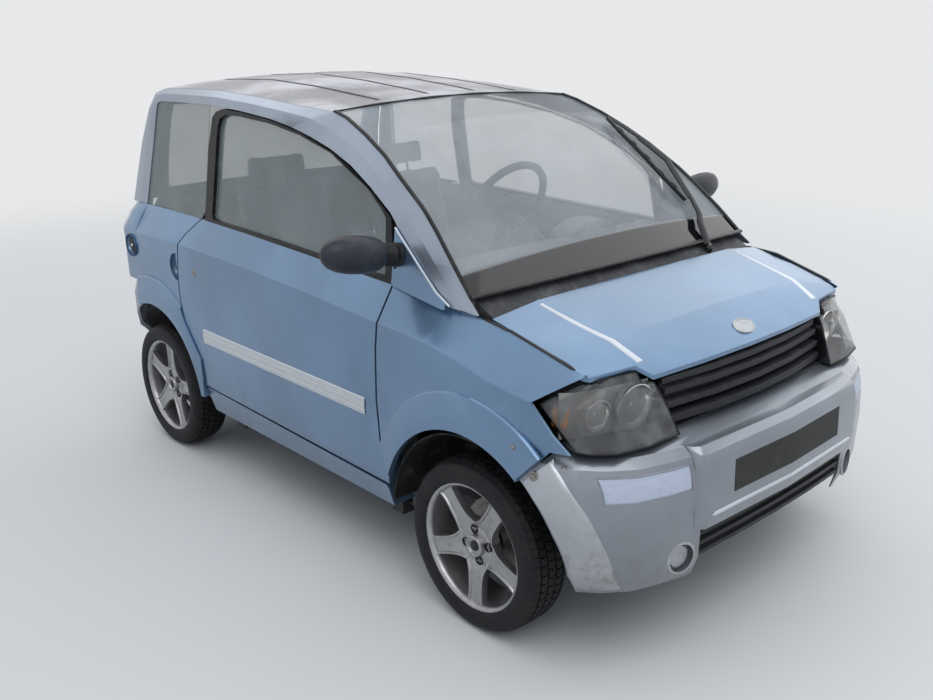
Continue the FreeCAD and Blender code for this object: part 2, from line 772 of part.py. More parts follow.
right_half = [bonnet_section(-out, line) for out, line in BONNET_STATIONS]
left_half = [bonnet_section(out, line) for out, line in reversed(BONNET_STATIONS[:-1])]
bonnet = faceted(right_half + left_half)
bonnet_side = [(-583, front(-350)), (-594, front(-297)), (-604, front(-197)), (-608, front(-87))]
bonnet = bonnet.cut(pair(plan_prism([(-700, front(-350))] + bonnet_side + [(-700, front(-87))])))
bonnet_eye = cylinder_x(dim.bonnet_hinge_back, dim.bonnet_hinge_height, 6.5, 428, 442)
bonnet_eye = bonnet_eye.cut(cylinder_x(dim.bonnet_hinge_back, dim.bonnet_hinge_height, 3.06, 0, far))
bonnet = one_solid(bonnet.fuse(pair(bonnet_eye)))
feature("bonnet_panel", bonnet)
LAMP_GAPS = [(0, 0, 0), (0, 0, -6), (0, -6, 0), (0, -5, -5), (-5, 0, -2), (-5, -4, -5), (-3, 0, -5)]
for shift in [Vector(*distances) for distances in LAMP_GAPS]:
    lamp = lamp.cut(bonnet.translated(shift))
lamp = lamp.cut(box((-442, front(-378), 754), (-360, front(-325), 800)))
feature("headlamps", pair(one_solid(lamp)))

# Scuttle, bulkhead and floor.
def cowl_section(out, front_y, front_z, back_y, back_z):
    low = dim.scuttle_height + fit
    return [(out, front_y, low), (out, front_y, front_z), (out, back_y, back_z), (out, back_y, low)]


COWL = [
    (596, front(-5), 880, front(66), 917),
    (300, front(-10), 894, front(34), 925),
    (0, front(-13), 898, front(24), 928),
]
cowl_rows = [cowl_section(-row[0], *row[1:]) for row in COWL]
cowl_rows += [cowl_section(*row) for row in reversed(COWL[:-1])]
notch = box((-452, front(-40), 0), (-418, -800, far))
feature("cowl_panel", one_solid(faceted(cowl_rows).cut(pair(notch))))

# Bulkhead with its hinge posts and scuttle shelf.
bulkhead_back = dim.bulkhead_back
bulkhead_foot = dim.rail_foot + dim.rail_rise + dim.seat_gap
half = dim.bulkhead_half
shelf_front = front(-14)
bulkhead_plate = box((-half, bulkhead_back - dim.bulkhead_wall, bulkhead_foot), (half, bulkhead_back, dim.scuttle_height))
shelf = box((-dim.shelf_half, shelf_front, dim.scuttle_height - dim.bulkhead_wall),
            (dim.shelf_half, bulkhead_back, dim.scuttle_height))
post_side = dim.half_width - dim.panel_wall - fit
post = box((-post_side, bulkhead_back - dim.bulkhead_wall, dim.hinge_post_foot), (-half, bulkhead_back, 790))
for z in HINGE_HEIGHTS:
    arm_low = z + 6
    arm_height = dim.hinge_height - 12
    eye = Part.makeCylinder(dim.hinge_eye_radius, arm_height, Vector(-dim.hinge_out, dim.hinge_back, arm_low))
    strap = plan_prism([
        (-dim.hinge_out, dim.hinge_back + 5), (-650, dim.hinge_back + 5), (-650, bulkhead_back - 5),
        (-661, bulkhead_back - 5), (-661, dim.hinge_back - 5), (-dim.hinge_out, dim.hinge_back - 5),
    ], arm_low, arm_low + arm_height)
    hole = Part.makeCylinder(dim.hinge_pin_radius + 0.06, far, Vector(-dim.hinge_out, dim.hinge_back, 0))
    post = post.fuse(eye.fuse(strap).cut(hole))
hinge_axis = (dim.bonnet_hinge_back, dim.bonnet_hinge_height)
ears = cylinder_x(*hinge_axis, 4, 444, 450).fuse(cylinder_x(*hinge_axis, 4, 420, 426))
for outer in (450, 426):
    ears = ears.fuse(box((-outer, shelf_front + 2, dim.scuttle_height - 5), (-outer + 6, -806, dim.bonnet_hinge_height)))
ears = ears.fuse(cylinder_x(*hinge_axis, 3, 422, 448))
carrier = post.fuse(ears)
feature("bulkhead", one_solid(bulkhead_plate.fuse(shelf).fuse(carrier).fuse(mirror(carrier))))

# Floor: flat in the foot well, stepped up to the luggage floor.
floor_line = [
    (bulkhead_back + dim.seat_gap, bulkhead_foot), (rear(-352), bulkhead_foot), (rear(-352), dim.luggage_floor_height),
    (rear(255), dim.luggage_floor_height), (rear(255), dim.luggage_floor_height + dim.floor_wall),
    (rear(-352) - dim.floor_wall, dim.luggage_floor_height + dim.floor_wall),
    (rear(-352) - dim.floor_wall, bulkhead_foot + dim.floor_wall),
    (bulkhead_back + dim.seat_gap, bulkhead_foot + dim.floor_wall),
]
floor = Part.Face(polygon([(-half, y, z) for y, z in floor_line])).extrude(Vector(2 * half, 0, 0))
tub = cylinder_x(rear_axle, axle_height, dim.liner_radius + fit, dim.liner_inner + 60 - fit, far)
feature("floor_pan", one_solid(floor.cut(pair(tub))))

# Wheel arch liners: half tubes with a closed inner end, kept inside the bumpers.
panel_inside = dim.half_width - dim.panel_wall - fit
liner_space = plan_prism([
    (0, -dim.front_reach + 150), (-560, -dim.front_reach + 150), (-640, -dim.front_reach + 220),
    (-dim.half_width + 30, -dim.front_reach + 290), (-panel_inside, front_axle), (-panel_inside, rear_axle),
    (-dim.half_width + 40, dim.rear_reach - 150), (-620, dim.rear_reach - 90), (-540, dim.rear_reach - 60),
    (0, dim.rear_reach - 60),
])


def liner(axle, inner):
    shell = cylinder_x(axle, axle_height, dim.liner_radius, inner, far)
    shell = shell.cut(cylinder_x(axle, axle_height, dim.liner_radius - dim.liner_wall, inner + dim.liner_wall, far))
    low = axle_height + 32
    return one_solid(shell.common(box((-far, -far, low), (0, far, far))).common(liner_space))


feature("wheel_arch_liners", Part.makeCompound(
    [shape for axle, inner in ((front_axle, dim.liner_inner), (rear_axle, dim.liner_inner + 60))
     for shape in (liner(axle, inner), mirror(liner(axle, inner)))]))

# Ladder frame: two box rails and cross members.
rail = block("rail_right",
             ("-car.rail_centre - car.rail_width / 2", "car.front_axle_back - 330", "car.rail_foot"),
             ("car.rail_width", "car.wheelbase + 630", "car.rail_rise"))
rail_left = mirrored("rail_left", rail)
cross_members = [
    block(f"cross_member_{index}",
          ("-car.rail_centre", f"car.front_axle_back + {distance}", "car.rail_foot + 6"),
          ("2 * car.rail_centre", "46", "car.rail_rise - 6"))
    for index, distance in enumerate((-325, 120, 420, 900, 1400, 1980))
]
outriggers = [
    block(f"outrigger_{index}",
          ("-car.bulkhead_half", f"car.front_axle_back + {distance}", "car.rail_foot + 30"),
          ("2 * car.bulkhead_half", "50", "car.rail_rise - 30"))
    for index, distance in enumerate((380, 1330))
]
eye_plate = block("eye_plate",
                  ("-car.rail_centre - car.tow_eye_length / 2",
                   "car.front_axle_back - 330 - 2 * (car.tow_eye_radius + car.tow_eye_wall)",
                   "car.rail_foot + car.rail_rise / 2 - car.tow_eye_radius - car.tow_eye_wall"),
                  ("car.tow_eye_length", "2 * (car.tow_eye_radius + car.tow_eye_wall) + 10",
                   "2 * (car.tow_eye_radius + car.tow_eye_wall)"))
eye_hole = rod("eye_hole",
               ("-car.rail_centre - car.tow_eye_length",
                "car.front_axle_back - 330 - car.tow_eye_radius - car.tow_eye_wall",
                "car.rail_foot + car.rail_rise / 2"),
               "car.tow_eye_radius", "2 * car.tow_eye_length")

# What the frame carries: sill pads, uprights and a beam behind the front bumper, two posts for the rear bumper.
# Columns: name, low corner for the right-hand side, sizes.
CARRIERS = [
    ("pad_front", ("-car.jack_reach", "car.front_axle_back + 380", "car.rail_foot + 30"),
     ("car.jack_reach - car.bulkhead_half - car.seat_gap", "50", "60 - car.seat_gap")),
    ("pad_rear", ("-car.jack_reach", "car.front_axle_back + 1330", "car.rail_foot + 30"),
     ("car.jack_reach - car.bulkhead_half - car.seat_gap", "50", "60 - car.seat_gap")),
    ("upright_front", ("-car.rail_centre - car.rail_width / 2", "car.front_axle_back - 317", "car.rail_foot + 10"),
     ("car.rail_width", "40", "560 - car.rail_foot")),
    ("upright_rear",
     ("-car.rail_centre - car.rail_width / 2",
      "car.front_axle_back + car.wheelbase + 255 + car.seat_gap", "car.rail_foot + 10"),
     ("car.rail_width", "44", "500 - car.rail_foot")),
    ("bracket_rear", ("-car.rail_centre - car.rail_width / 2", "car.rear_reach - 80", "450"),
     ("car.rail_width", "65 - car.seat_gap", "50")),
]
carriers = [block(name, low, size) for name, low, size in CARRIERS]
carriers += [mirrored(item.Name + "_left", item) for item in carriers]
front_beam = block("front_beam", ("-520", "car.front_axle_back - 400 + car.seat_gap", "560"),
                   ("1040", "110", "car.bumper_top + 6 - car.seat_gap - 560"))
lamp_beam = block("lamp_beam", ("-600 + car.seat_gap", "car.front_axle_back - 330", "560"),
                  ("1200 - 2 * car.seat_gap", "60", "car.bumper_top + 6 - car.seat_gap - 560"))
outrigger_ends = [
    block(f"outrigger_end_{index}",
          ("-car.jack_reach", f"car.front_axle_back + {distance}", "car.rail_foot + 30"),
          ("2 * car.jack_reach", "50", "car.rail_rise - 30"))
    for index, distance in enumerate((380, 1330))
]
beams = [rail, rail_left, eye_plate, front_beam, lamp_beam]
ladder = fuse("ladder", beams + cross_members + outriggers + outrigger_ends + carriers)
node("chassis_frame", cut("chassis_frame", ladder, eye_hole))

# Engine: one plain block between the rails, over the front axle.
engine = block("engine_block",
               ("-car.engine_half", "car.front_axle_back - 190", "car.rail_foot + car.rail_rise + car.seat_gap"),
               ("2 * car.engine_half", "car.engine_length", "car.engine_rise"))
node("engine_block", engine)

# Sketched bodies

def origin_plane(body, role):
    return next(plane for plane in body.Origin.OriginFeatures if plane.Role == role)


def sketch_polygon(body, name, plane, points):
    """A closed polygon in a body, each corner held by two formulas over the sheet."""
    sketch = body.newObject("Sketcher::SketchObject", name)
    sketch.AttachmentSupport = [(origin_plane(body, plane), "")]
    sketch.MapMode = "FlatFace"
    corners = [Vector(*(float(sketch.evalExpression(f)) for f in pair_of), 0) for pair_of in points]
    for index, start in enumerate(corners):
        sketch.addGeometry(Part.LineSegment(start, corners[(index + 1) % len(corners)]), False)
    for index in range(len(corners)):
        sketch.addConstraint(Sketcher.Constraint("Coincident", index, 2, (index + 1) % len(corners), 1))
    for index, (across, up) in enumerate(points):
        for kind, formula, value in (("DistanceX", across, corners[index].x), ("DistanceY", up, corners[index].y)):
            number = sketch.addConstraint(Sketcher.Constraint(kind, -1, 1, index, 1, value))
            sketch.setExpression(f"Constraints[{number}]", formula)
    return sketch


def revolve(body, name, sketch):
    turned = body.newObject("PartDesign::Revolution", name)
    turned.Profile = sketch
    turned.ReferenceAxis = (sketch, ["H_Axis"])
    turned.Angle = 360
    return turned


def pocket_ring(body, name, sketch, count):
    """A through pocket repeated round the wheel's axis."""
    pocket = body.newObject("PartDesign::Pocket", name)
    pocket.Profile = sketch
    pocket.Type = 1
    pocket.Midplane = True
    doc.recompute()
    ring = body.newObject("PartDesign::PolarPattern", name + "_ring")
    ring.Originals = [pocket]
    ring.Axis = (sketch, ["N_Axis"])
    ring.Angle = 360
    ring.Occurrences = count
    body.Tip = ring
    doc.recompute()
    return ring


TYRE_PROFILE = [
    ("car.rim_half_width - 9.3", "car.tyre_bead_radius"),
    ("car.rim_half_width - 9.3", "car.rim_radius + 1.5"),
    ("car.rim_half_width", "car.rim_radius + 5"),
    ("car.tyre_half_width", "car.tyre_radius - 46"),
    ("car.tyre_half_width - 1", "car.tyre_radius - 26"),
    ("car.tyre_half_width - 10", "car.tyre_radius - 8"),
    ("car.tyre_half_width - car.tyre_shoulder", "car.tyre_radius"),
]
BARREL_PROFILE = [
    ("-car.rim_half_width", "car.rim_radius"), ("9 - car.rim_half_width", "car.rim_radius"),
    ("9 - car.rim_half_width", "car.tyre_bead_radius - car.seat_gap"),
    ("car.rim_half_width - 9", "car.tyre_bead_radius - car.seat_gap"),
    ("car.rim_half_width - 9", "car.rim_radius"), ("car.rim_half_width", "car.rim_radius"),
    ("car.rim_half_width", "car.tyre_bead_radius + 5"),
    ("car.rim_half_width - 6", "car.tyre_bead_radius - car.rim_wall"),
    ("-10", "car.tyre_bead_radius - car.rim_wall"),
    ("-12", "car.rim_hub_radius"), ("8", "car.rim_hub_radius"), ("8", "car.hub_bore_radius"),
    ("4 - car.rim_half_width + 6", "car.hub_bore_radius"),
    ("4 - car.rim_half_width + 6", "car.rim_hub_radius - 30"),
    ("16 - car.rim_half_width", "car.rim_hub_radius"),
    ("9 - car.rim_half_width", "car.rim_window_outer - 10"),
    ("6 - car.rim_half_width", "car.tyre_bead_radius - 4"),
]
WINDOW = [
    ("-19", "car.rim_window_inner"), ("-50", "car.rim_window_outer - 22"), ("-44", "car.rim_window_outer - 4"),
    ("0.01", "car.rim_window_outer"), ("44", "car.rim_window_outer - 4"), ("50", "car.rim_window_outer - 22"),
    ("19", "car.rim_window_inner"),
]


def mirrored_profile(points):
    return points + [(f"-({across})", up) for across, up in reversed(points)]


def bolt_square(radius):
    return [
        (f"{x} * {radius}", f"car.rim_bolt_circle + {y} * {radius}")
        for x, y in ((1, 0.4), (0.4, 1), (-0.4, 1), (-1, 0.4), (-1, -0.4), (-0.4, -1), (0.4, -1), (1, -0.4))
    ]


# Wheels. Columns: name, side, axle formula, turn of the spokes.
WHEELS = [
    ("front_right", -1, "car.front_axle_back", 8),
    ("front_left", 1, "car.front_axle_back", 20),
    ("rear_right", -1, "car.front_axle_back + car.wheelbase", 30),
    ("rear_left", 1, "car.front_axle_back + car.wheelbase", 50),
]
for name, side, axle_formula, turn in WHEELS:
    for kind in ("tyre", "rim"):
        body = doc.addObject("PartDesign::Body", f"{kind}_{name}")
        if kind == "tyre":
            revolve(body, f"{kind}_turn_{name}",
                    sketch_polygon(body, f"{kind}_profile_{name}", "XY_Plane", mirrored_profile(TYRE_PROFILE)))
        else:
            revolve(body, f"{kind}_turn_{name}",
                    sketch_polygon(body, f"{kind}_profile_{name}", "XY_Plane", BARREL_PROFILE))
            doc.recompute()
            windows = sketch_polygon(body, f"windows_{name}", "YZ_Plane", WINDOW)
            pocket_ring(body, f"window_{name}", windows, 5)
            bolts = sketch_polygon(body, f"bolts_{name}", "YZ_Plane", bolt_square("car.rim_bolt_radius"))
            pocket_ring(body, f"bolt_{name}", bolts, 4)
        half_turn = Rotation(Vector(0, 0, 1), 180 if side > 0 else 0)
        body.Placement = Placement(Vector(), half_turn * Rotation(Vector(1, 0, 0), turn if kind == "rim" else 0))
        bind(body, Placement__Base__x=f"{side} * car.wheel_centre", Placement__Base__y=axle_formula,
             Placement__Base__z="car.tyre_radius")
        node(f"{kind}_{name}", body)

# Front knuckles: hub, brake disc, upright and the strut along the leaning steering axis.
hub_back = dim.wheel_centre - 8 - dim.seat_gap
kingpin_foot = Vector(-dim.kingpin_centre, front_axle, dim.kingpin_foot)
kingpin_way = Vector(dim.kingpin_lean, 0, 400)
strut_start = kingpin_foot + kingpin_way * 0.42
strut_top = 0.555


def hub(axle):
    """Stub shaft, wheel flange and brake disc on one axle end."""
    stub = cylinder_x(axle, axle_height, dim.hub_bore_radius - 0.05, hub_back - 20, dim.wheel_centre + 36)
    flange = cylinder_x(axle, axle_height, dim.rim_hub_radius - 4, hub_back - 24, hub_back)
    disc = cylinder_x(axle, axle_height, dim.brake_radius, hub_back - 24 - dim.brake_wall, hub_back - 22)
    return stub.fuse(flange).fuse(disc)


disc_back = hub_back - 24 - dim.brake_wall
upright = box(
    (-disc_back, front_axle - 30, dim.kingpin_foot + 16),
    (-dim.kingpin_centre + 16, front_axle + 30, axle_height + 66),
)
kingpin = Part.makeCylinder(dim.kingpin_radius, kingpin_way.Length * 0.45, kingpin_foot, kingpin_way)
strut = Part.makeCylinder(dim.strut_radius, kingpin_way.Length * strut_top, strut_start, kingpin_way)
steering_arm = box((-dim.kingpin_centre - 14, front_axle + 20, dim.kingpin_foot + 20),
                   (-dim.kingpin_centre + 16, front_axle + 128, dim.kingpin_foot + 42))
knuckle = one_solid(hub(front_axle).fuse(upright).fuse(kingpin).fuse(strut).fuse(steering_arm))
feature("knuckle_right", knuckle)
feature("knuckle_left", mirror(knuckle))

# Lower arms from the rails to the ball joints.
rail_side = dim.rail_centre + dim.rail_width / 2 + fit
arm_top = dim.kingpin_foot - dim.kingpin_radius * 0.1 - fit
lower_arm = plan_prism([
    (-rail_side, front_axle - 70), (-rail_side, front_axle + 110), (-dim.kingpin_centre, front_axle + 18),
    (-dim.kingpin_centre - 14, front_axle + 7), (-dim.kingpin_centre - 14, front_axle - 7),
    (-dim.kingpin_centre, front_axle - 18),
], arm_top - 22, arm_top)
feature("front_suspension", pair(lower_arm))

# Rear axle: beam, trailing arms, springs and hubs.
beam = cylinder_x(rear_axle, axle_height, 26, -hub_back + 30, hub_back - 30)
rear_hub = hub(rear_axle)
trailing = box((-rail_side - 46, rear(-345), dim.rail_foot + 22), (-rail_side, rear(30), axle_height - 20))
spring = Part.makeCylinder(34, dim.luggage_floor_height - fit - axle_height, Vector(-430, rear_axle, axle_height))
axle_half = rear_hub.fuse(trailing).fuse(spring)
rear_axle_shape = beam.fuse(axle_half).fuse(mirror(axle_half))
feature("rear_axle", one_solid(rear_axle_shape))

# Mirrors: a ribbed boot on the sail panel carries a rounded housing.
boot_root = Vector(-lean(dim.mirror_root_height, -8) - fit, dim.mirror_root_back, dim.mirror_root_height)
mirror_way = Vector(-1, 0, dim.side_lean)
MIRROR_PROFILE = [
    (0, 30), (48, 28), (48, 34), (60, 42), (100, 51), (150, 52), (200, 46), (232, 34), (252, 16), (257, 0.5),
]
profile = [(0, 0)] + MIRROR_PROFILE + [(257, 0)]
outline = Part.Face(polygon([(-along, -radius, 0) for along, radius in profile]))
housing = outline.revolve(Vector(), Vector(1, 0, 0), 360)
housing.Placement = Placement(boot_root, Rotation(Vector(-1, 0, 0), mirror_way))
glass_side = box((-far, boot_root.y + 36, 0), (-dim.half_width + 10, boot_root.y + 200, far))
feature("mirrors", pair(one_solid(housing.cut(glass_side))))

# Dashboard with the column shroud.
dash_line = [
    (front(90), 885), (front(200), 905), (front(330), 925), (front(420), 930), (front(462), 905),
    (front(470), 800), (front(440), 700), (front(363), 680), (front(363), 862.5), (front(90), 862.5),
]
dash_half = dim.bulkhead_half - 30
dash = Part.Face(polygon([(-dash_half, y, z) for y, z in dash_line])).extrude(Vector(2 * dash_half, 0, 0))
tilt = math.radians(dim.column_tilt)
wheel_middle = Vector(dim.steering_centre_out, dim.steering_centre_back, dim.steering_centre_height)
column_way = Vector(0, -math.cos(tilt), -math.sin(tilt))
shroud_start = wheel_middle + column_way * dim.column_length
shroud = Part.makeCylinder(42, 150, shroud_start, column_way)
feature("dashboard", one_solid(dash.fuse(shroud)))

rim_ring = Part.makeTorus(dim.steering_wheel_radius, dim.steering_rim_radius, wheel_middle, column_way)
hub_disc = Part.makeCylinder(58, 34, wheel_middle - column_way * 2, column_way)
shaft = Part.makeCylinder(dim.column_radius, dim.column_length - fit, wheel_middle, column_way)
steering = rim_ring.fuse(hub_disc).fuse(shaft)
side_way = Vector(1, 0, 0)
for turn in (0, 180, 270):
    arm = Part.makeBox(dim.steering_wheel_radius, 30, 10, Vector(0, -15, 8))
    arm.Placement = Placement(wheel_middle, Rotation(side_way, column_way.cross(side_way), column_way, "XYZ")
                              ).multiply(Placement(Vector(), Rotation(Vector(0, 0, 1), turn)))
    steering = steering.fuse(arm)
feature("steering_wheel", one_solid(steering))

# Seats: base, cushion and backrest in one outline.
seat_line = [
    (front(960), dim.seat_base_height + 10), (front(960), dim.seat_base_height + 110),
    (front(1300), dim.seat_base_height + 95), (front(1335), dim.seat_base_height + 120),
    (front(1455), 1010), (front(1458), 1040), (front(1470), 1150), (front(1525), 1165), (front(1550), 1040),
    (front(1420), dim.seat_base_height), (front(1380), bulkhead_foot + dim.floor_wall + fit),
    (front(1010), bulkhead_foot + dim.floor_wall + fit),
]
seat = Part.Face(polygon([(-dim.seat_centre_out - dim.seat_half, y, z) for y, z in seat_line]))
feature("seats", pair(seat.extrude(Vector(2 * dim.seat_half, 0, 0))))

# Wiper: a boss on the scuttle, an arm beside the left-hand pillar and a curved blade. Columns: x, y, z.
WIPER_ARM = [
    (375, -793, 926), (396, -740, 988), (425, -716, 1008), (450, -660, 1054), (516, -513, 1157),
    (510, -459, 1191), (496, -405, 1226), (482, -345, 1260), (466, -280, 1293),
]
WIPER_BLADE = [
    (412, -670, 1050), (397, -623, 1093), (391, -575, 1131), (399, -509, 1175), (411, -442, 1215),
    (426, -371, 1253), (466, -280, 1293),
]
wiper = Part.makeCylinder(13, 24, Vector(375, -782, 909.8), Vector(0, -0.53, 0.848))
for route, radius in ((WIPER_ARM, 6), (WIPER_BLADE, 5)):
    for start, end in zip(route, route[1:]):
        start, end = Vector(*start), Vector(*end)
        wiper = wiper.fuse(Part.makeCylinder(radius, (end - start).Length, start, end - start))
        wiper = wiper.fuse(Part.makeSphere(radius, end))
feature("wiper", one_solid(wiper))

# Rear lamps in the rear corners.
lamp_body = rear_corner(0, TAIL_HALF, REAR_LEVELS).common(
    box((-TAIL_HALF - 128 + fit, rear(255) + fit, LAMP_LOW + fit), (-TAIL_HALF - fit, rear(600), LAMP_HIGH - fit)))
feature("rear_lamps", pair(one_solid(lamp_body)))

# Finish: every object is sound before anything is written.
doc.recompute()
os.makedirs("parts", exist_ok=True)
for item in doc.Objects:
    if "Invalid" in item.State or "Error" in item.State:
        raise RuntimeError(f"{item.Name}: {item.State}")
for item in nodes:
    if item.Shape.isNull() or not item.Shape.isValid():
        raise RuntimeError(f"{item.Label} is not sound")
    item.Shape.exportStep(f"parts/{item.Label}.step")
    print(item.Label, len(item.Shape.Solids), round(item.Shape.Volume / 1e6, 3))
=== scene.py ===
"""Two-door microcar: its finishes, fittings, cabin and studio, built over the fixed frame."""
import json
import logging
import math
from collections.abc import Sequence
from dataclasses import dataclass, field
from enum import Enum

import bmesh
import bpy
from mathutils import Matrix, Vector
from mathutils.bvhtree import BVHTree


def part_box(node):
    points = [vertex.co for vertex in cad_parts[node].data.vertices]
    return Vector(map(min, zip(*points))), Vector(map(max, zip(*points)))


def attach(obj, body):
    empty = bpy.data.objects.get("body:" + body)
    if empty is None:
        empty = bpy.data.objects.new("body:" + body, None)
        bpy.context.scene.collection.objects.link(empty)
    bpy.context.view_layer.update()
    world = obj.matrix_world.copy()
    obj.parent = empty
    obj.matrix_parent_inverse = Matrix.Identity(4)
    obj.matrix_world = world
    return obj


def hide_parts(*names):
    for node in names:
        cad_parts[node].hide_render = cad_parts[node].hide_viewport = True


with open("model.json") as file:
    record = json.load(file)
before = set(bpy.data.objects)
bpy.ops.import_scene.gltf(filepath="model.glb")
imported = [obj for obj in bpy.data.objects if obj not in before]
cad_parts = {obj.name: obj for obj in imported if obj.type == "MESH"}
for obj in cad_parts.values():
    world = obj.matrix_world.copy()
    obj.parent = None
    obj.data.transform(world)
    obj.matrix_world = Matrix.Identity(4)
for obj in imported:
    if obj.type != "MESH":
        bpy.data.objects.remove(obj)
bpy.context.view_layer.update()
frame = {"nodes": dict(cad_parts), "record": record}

log = logging.getLogger("microcar")
MM = 0.001
X_AXIS, Y_AXIS, Z_AXIS = Vector((1, 0, 0)), Vector((0, 1, 0)), Vector((0, 0, 1))
FRONT_AXLE, REAR_AXLE, AXLE_HEIGHT = -803.0, 1001.0, 248.0
MERGE_DISTANCE = 0.00002
FLAT_ANGLE = math.radians(0.6)
Pair = tuple[float, float]
Triple = tuple[float, float, float]
Socket = bpy.types.NodeSocket
Row = list[Vector]


class Side(Enum):
    """The two sides of the car, by the sign of X."""

    RIGHT = -1
    LEFT = 1


class Axis(Enum):
    """The direction a feeler ray comes from."""

    SIDE = 0
    FRONT = 1
    TOP = 2
    REAR = 3


def spread(low: float, high: float, steps: int) -> list[float]:
    """Evenly spaced values from low to high, both included."""
    return [low + (high - low) * k / steps for k in range(steps + 1)]


def round_angles(count: int) -> list[float]:
    """The angles of equal steps round a circle."""
    return [2 * math.pi * k / count for k in range(count)]


# Node trees of the finishes


class Board:
    """The node tree of one finish while it is put together."""

    def __init__(self, name: str) -> None:
        """Start an empty tree with a shader and an output.

        Args:
            name: The material's name.
        """
        self.material = bpy.data.materials.new(name)
        self.material.use_nodes = True
        self.tree = self.material.node_tree
        self.tree.nodes.clear()
        self.shader = self.tree.nodes.new("ShaderNodeBsdfPrincipled")
        output = self.tree.nodes.new("ShaderNodeOutputMaterial")
        self.tree.links.new(self.shader.outputs[0], output.inputs[0])
        self.place = self.tree.nodes.new("ShaderNodeTexCoord").outputs["Object"]

    def feed(self, socket: Socket, value: object) -> None:
        """Link a socket or set its constant.

        Args:
            socket: The input to fill.
            value: Another node's output, a number, or a colour.
        """
        if isinstance(value, Socket):
            self.tree.links.new(value, socket)
        elif isinstance(value, (tuple, list)) and len(socket.default_value) == 4 and len(value) == 3:
            socket.default_value = (*value, 1.0)
        else:
            socket.default_value = value

    def shade(self, **values: object) -> None:
        """Fill the shader's inputs, named with underscores for spaces."""
        for key, value in values.items():
            self.feed(self.shader.inputs[key.replace("_", " ")], value)

    def add(self, kind: str, inputs: dict[int | str, object]) -> bpy.types.Node:
        """A new node with its inputs filled.

        Args:
            kind: The node's type.
            inputs: Numbers, colours and sockets by input.

        Returns:
            The node.
        """
        node = self.tree.nodes.new(kind)
        for key, value in inputs.items():
            self.feed(node.inputs[key], value)
        return node

    def stretched(self, stretch: Triple) -> Socket:
        """The object coordinates times three factors.

        Args:
            stretch: The factors on X, Y and Z.

        Returns:
            The coordinates' socket.
        """
        if stretch == (1, 1, 1):
            return self.place
        return self.add("ShaderNodeMapping", {"Vector": self.place, "Scale": stretch}).outputs[0]

    def noise(
        self, scale: float, detail: float = 3.0, rough: float = 0.55, stretch: Triple = (1, 1, 1)
    ) -> Socket:
        """A noise value on object coordinates.

        Args:
            scale: Cells in a metre.
            detail: Octaves.
            rough: How strong the fine octaves are.
            stretch: Factors on the three coordinates.

        Returns:
            The noise factor's socket.
        """
        inputs = {"Vector": self.stretched(stretch), "Scale": scale, "Detail": detail, "Roughness": rough}
        return self.add("ShaderNodeTexNoise", inputs).outputs["Fac"]

    def cells(self, scale: float) -> Socket:
        """Distance to the nearest cell centre, for grain, at a number of cells in a metre."""
        return self.add("ShaderNodeTexVoronoi", {"Vector": self.place, "Scale": scale}).outputs["Distance"]

    def coordinate(self, index: int) -> Socket:
        """One object coordinate in metres: 0 is X, 1 is Y, 2 is Z."""
        return self.add("ShaderNodeSeparateXYZ", {0: self.place}).outputs[index]

    def calc(self, operation: str, first: object, second: object = 0.0, clamp: bool = False) -> Socket:
        """One sum on two values.

        Args:
            operation: The Math node's operation.
            first: The first value.
            second: The second value.
            clamp: Whether the result stays between 0 and 1.

        Returns:
            The result's socket.
        """
        node = self.add("ShaderNodeMath", {0: first, 1: second})
        node.operation = operation
        node.use_clamp = clamp
        return node.outputs[0]

    def times(self, first: object, second: object, clamp: bool = False) -> Socket:
        """The product of two values."""
        return self.calc("MULTIPLY", first, second, clamp)

    def plus(self, first: object, second: object, clamp: bool = False) -> Socket:
        """The sum of two values."""
        return self.calc("ADD", first, second, clamp)

    def line(self, value: object, slope: float, base: float, clamp: bool = False) -> Socket:
        """A value times a slope, plus a base."""
        return self.plus(self.times(value, slope), base, clamp)

    def band(self, value: Socket, low: float, high: float) -> Socket:
        """Rises smoothly from 0 at low to 1 at high, or falls where low is above high.

        Args:
            value: What is measured.
            low: Where the result is 0.
            high: Where the result is 1.

        Returns:
            The share's socket.
        """
        limits = (low, high, 0.0, 1.0) if low < high else (high, low, 1.0, 0.0)
        ends = dict(zip(("From Min", "From Max", "To Min", "To Max"), limits))
        node = self.add("ShaderNodeMapRange", {"Value": value, **ends})
        node.interpolation_type = "SMOOTHSTEP"
        return node.outputs["Result"]

    def mix(self, share: object, low: object, high: object) -> Socket:
        """A mix of two colours.

        Args:
            share: 0 for the first colour, 1 for the second.
            low: The first colour.
            high: The second colour.

        Returns:
            The colour's socket.
        """
        node = self.tree.nodes.new("ShaderNodeMix")
        node.data_type = "RGBA"
        self.feed(node.inputs["Factor"], share)
        self.feed(node.inputs[6], low)
        self.feed(node.inputs[7], high)
        return node.outputs[2]

    def bump(self, height: Socket, depth: float, strength: float = 1.0) -> None:
        """Let a height change the surface's relief.

        Args:
            height: The height's socket.
            depth: The relief in metres at a height of 1.
            strength: The relief's share.
        """
        node = self.add("ShaderNodeBump", {"Strength": strength, "Distance": depth, "Height": height})
        if self.shader.inputs["Normal"].is_linked:
            self.tree.links.new(self.shader.inputs["Normal"].links[0].from_socket, node.inputs["Normal"])
        self.tree.links.new(node.outputs[0], self.shader.inputs["Normal"])


class Finish:
    """A finish that makes its material once."""

    def material(self) -> bpy.types.Material:
        """The finish's material, made at the first call."""
        name = repr(self)[:60]
        if name not in bpy.data.materials:
            board = Board(name)
            self.paint(board)
        return bpy.data.materials[name]

    def paint(self, board: Board) -> None:
        """Fill the board's tree. Each finish has its own."""
        raise NotImplementedError


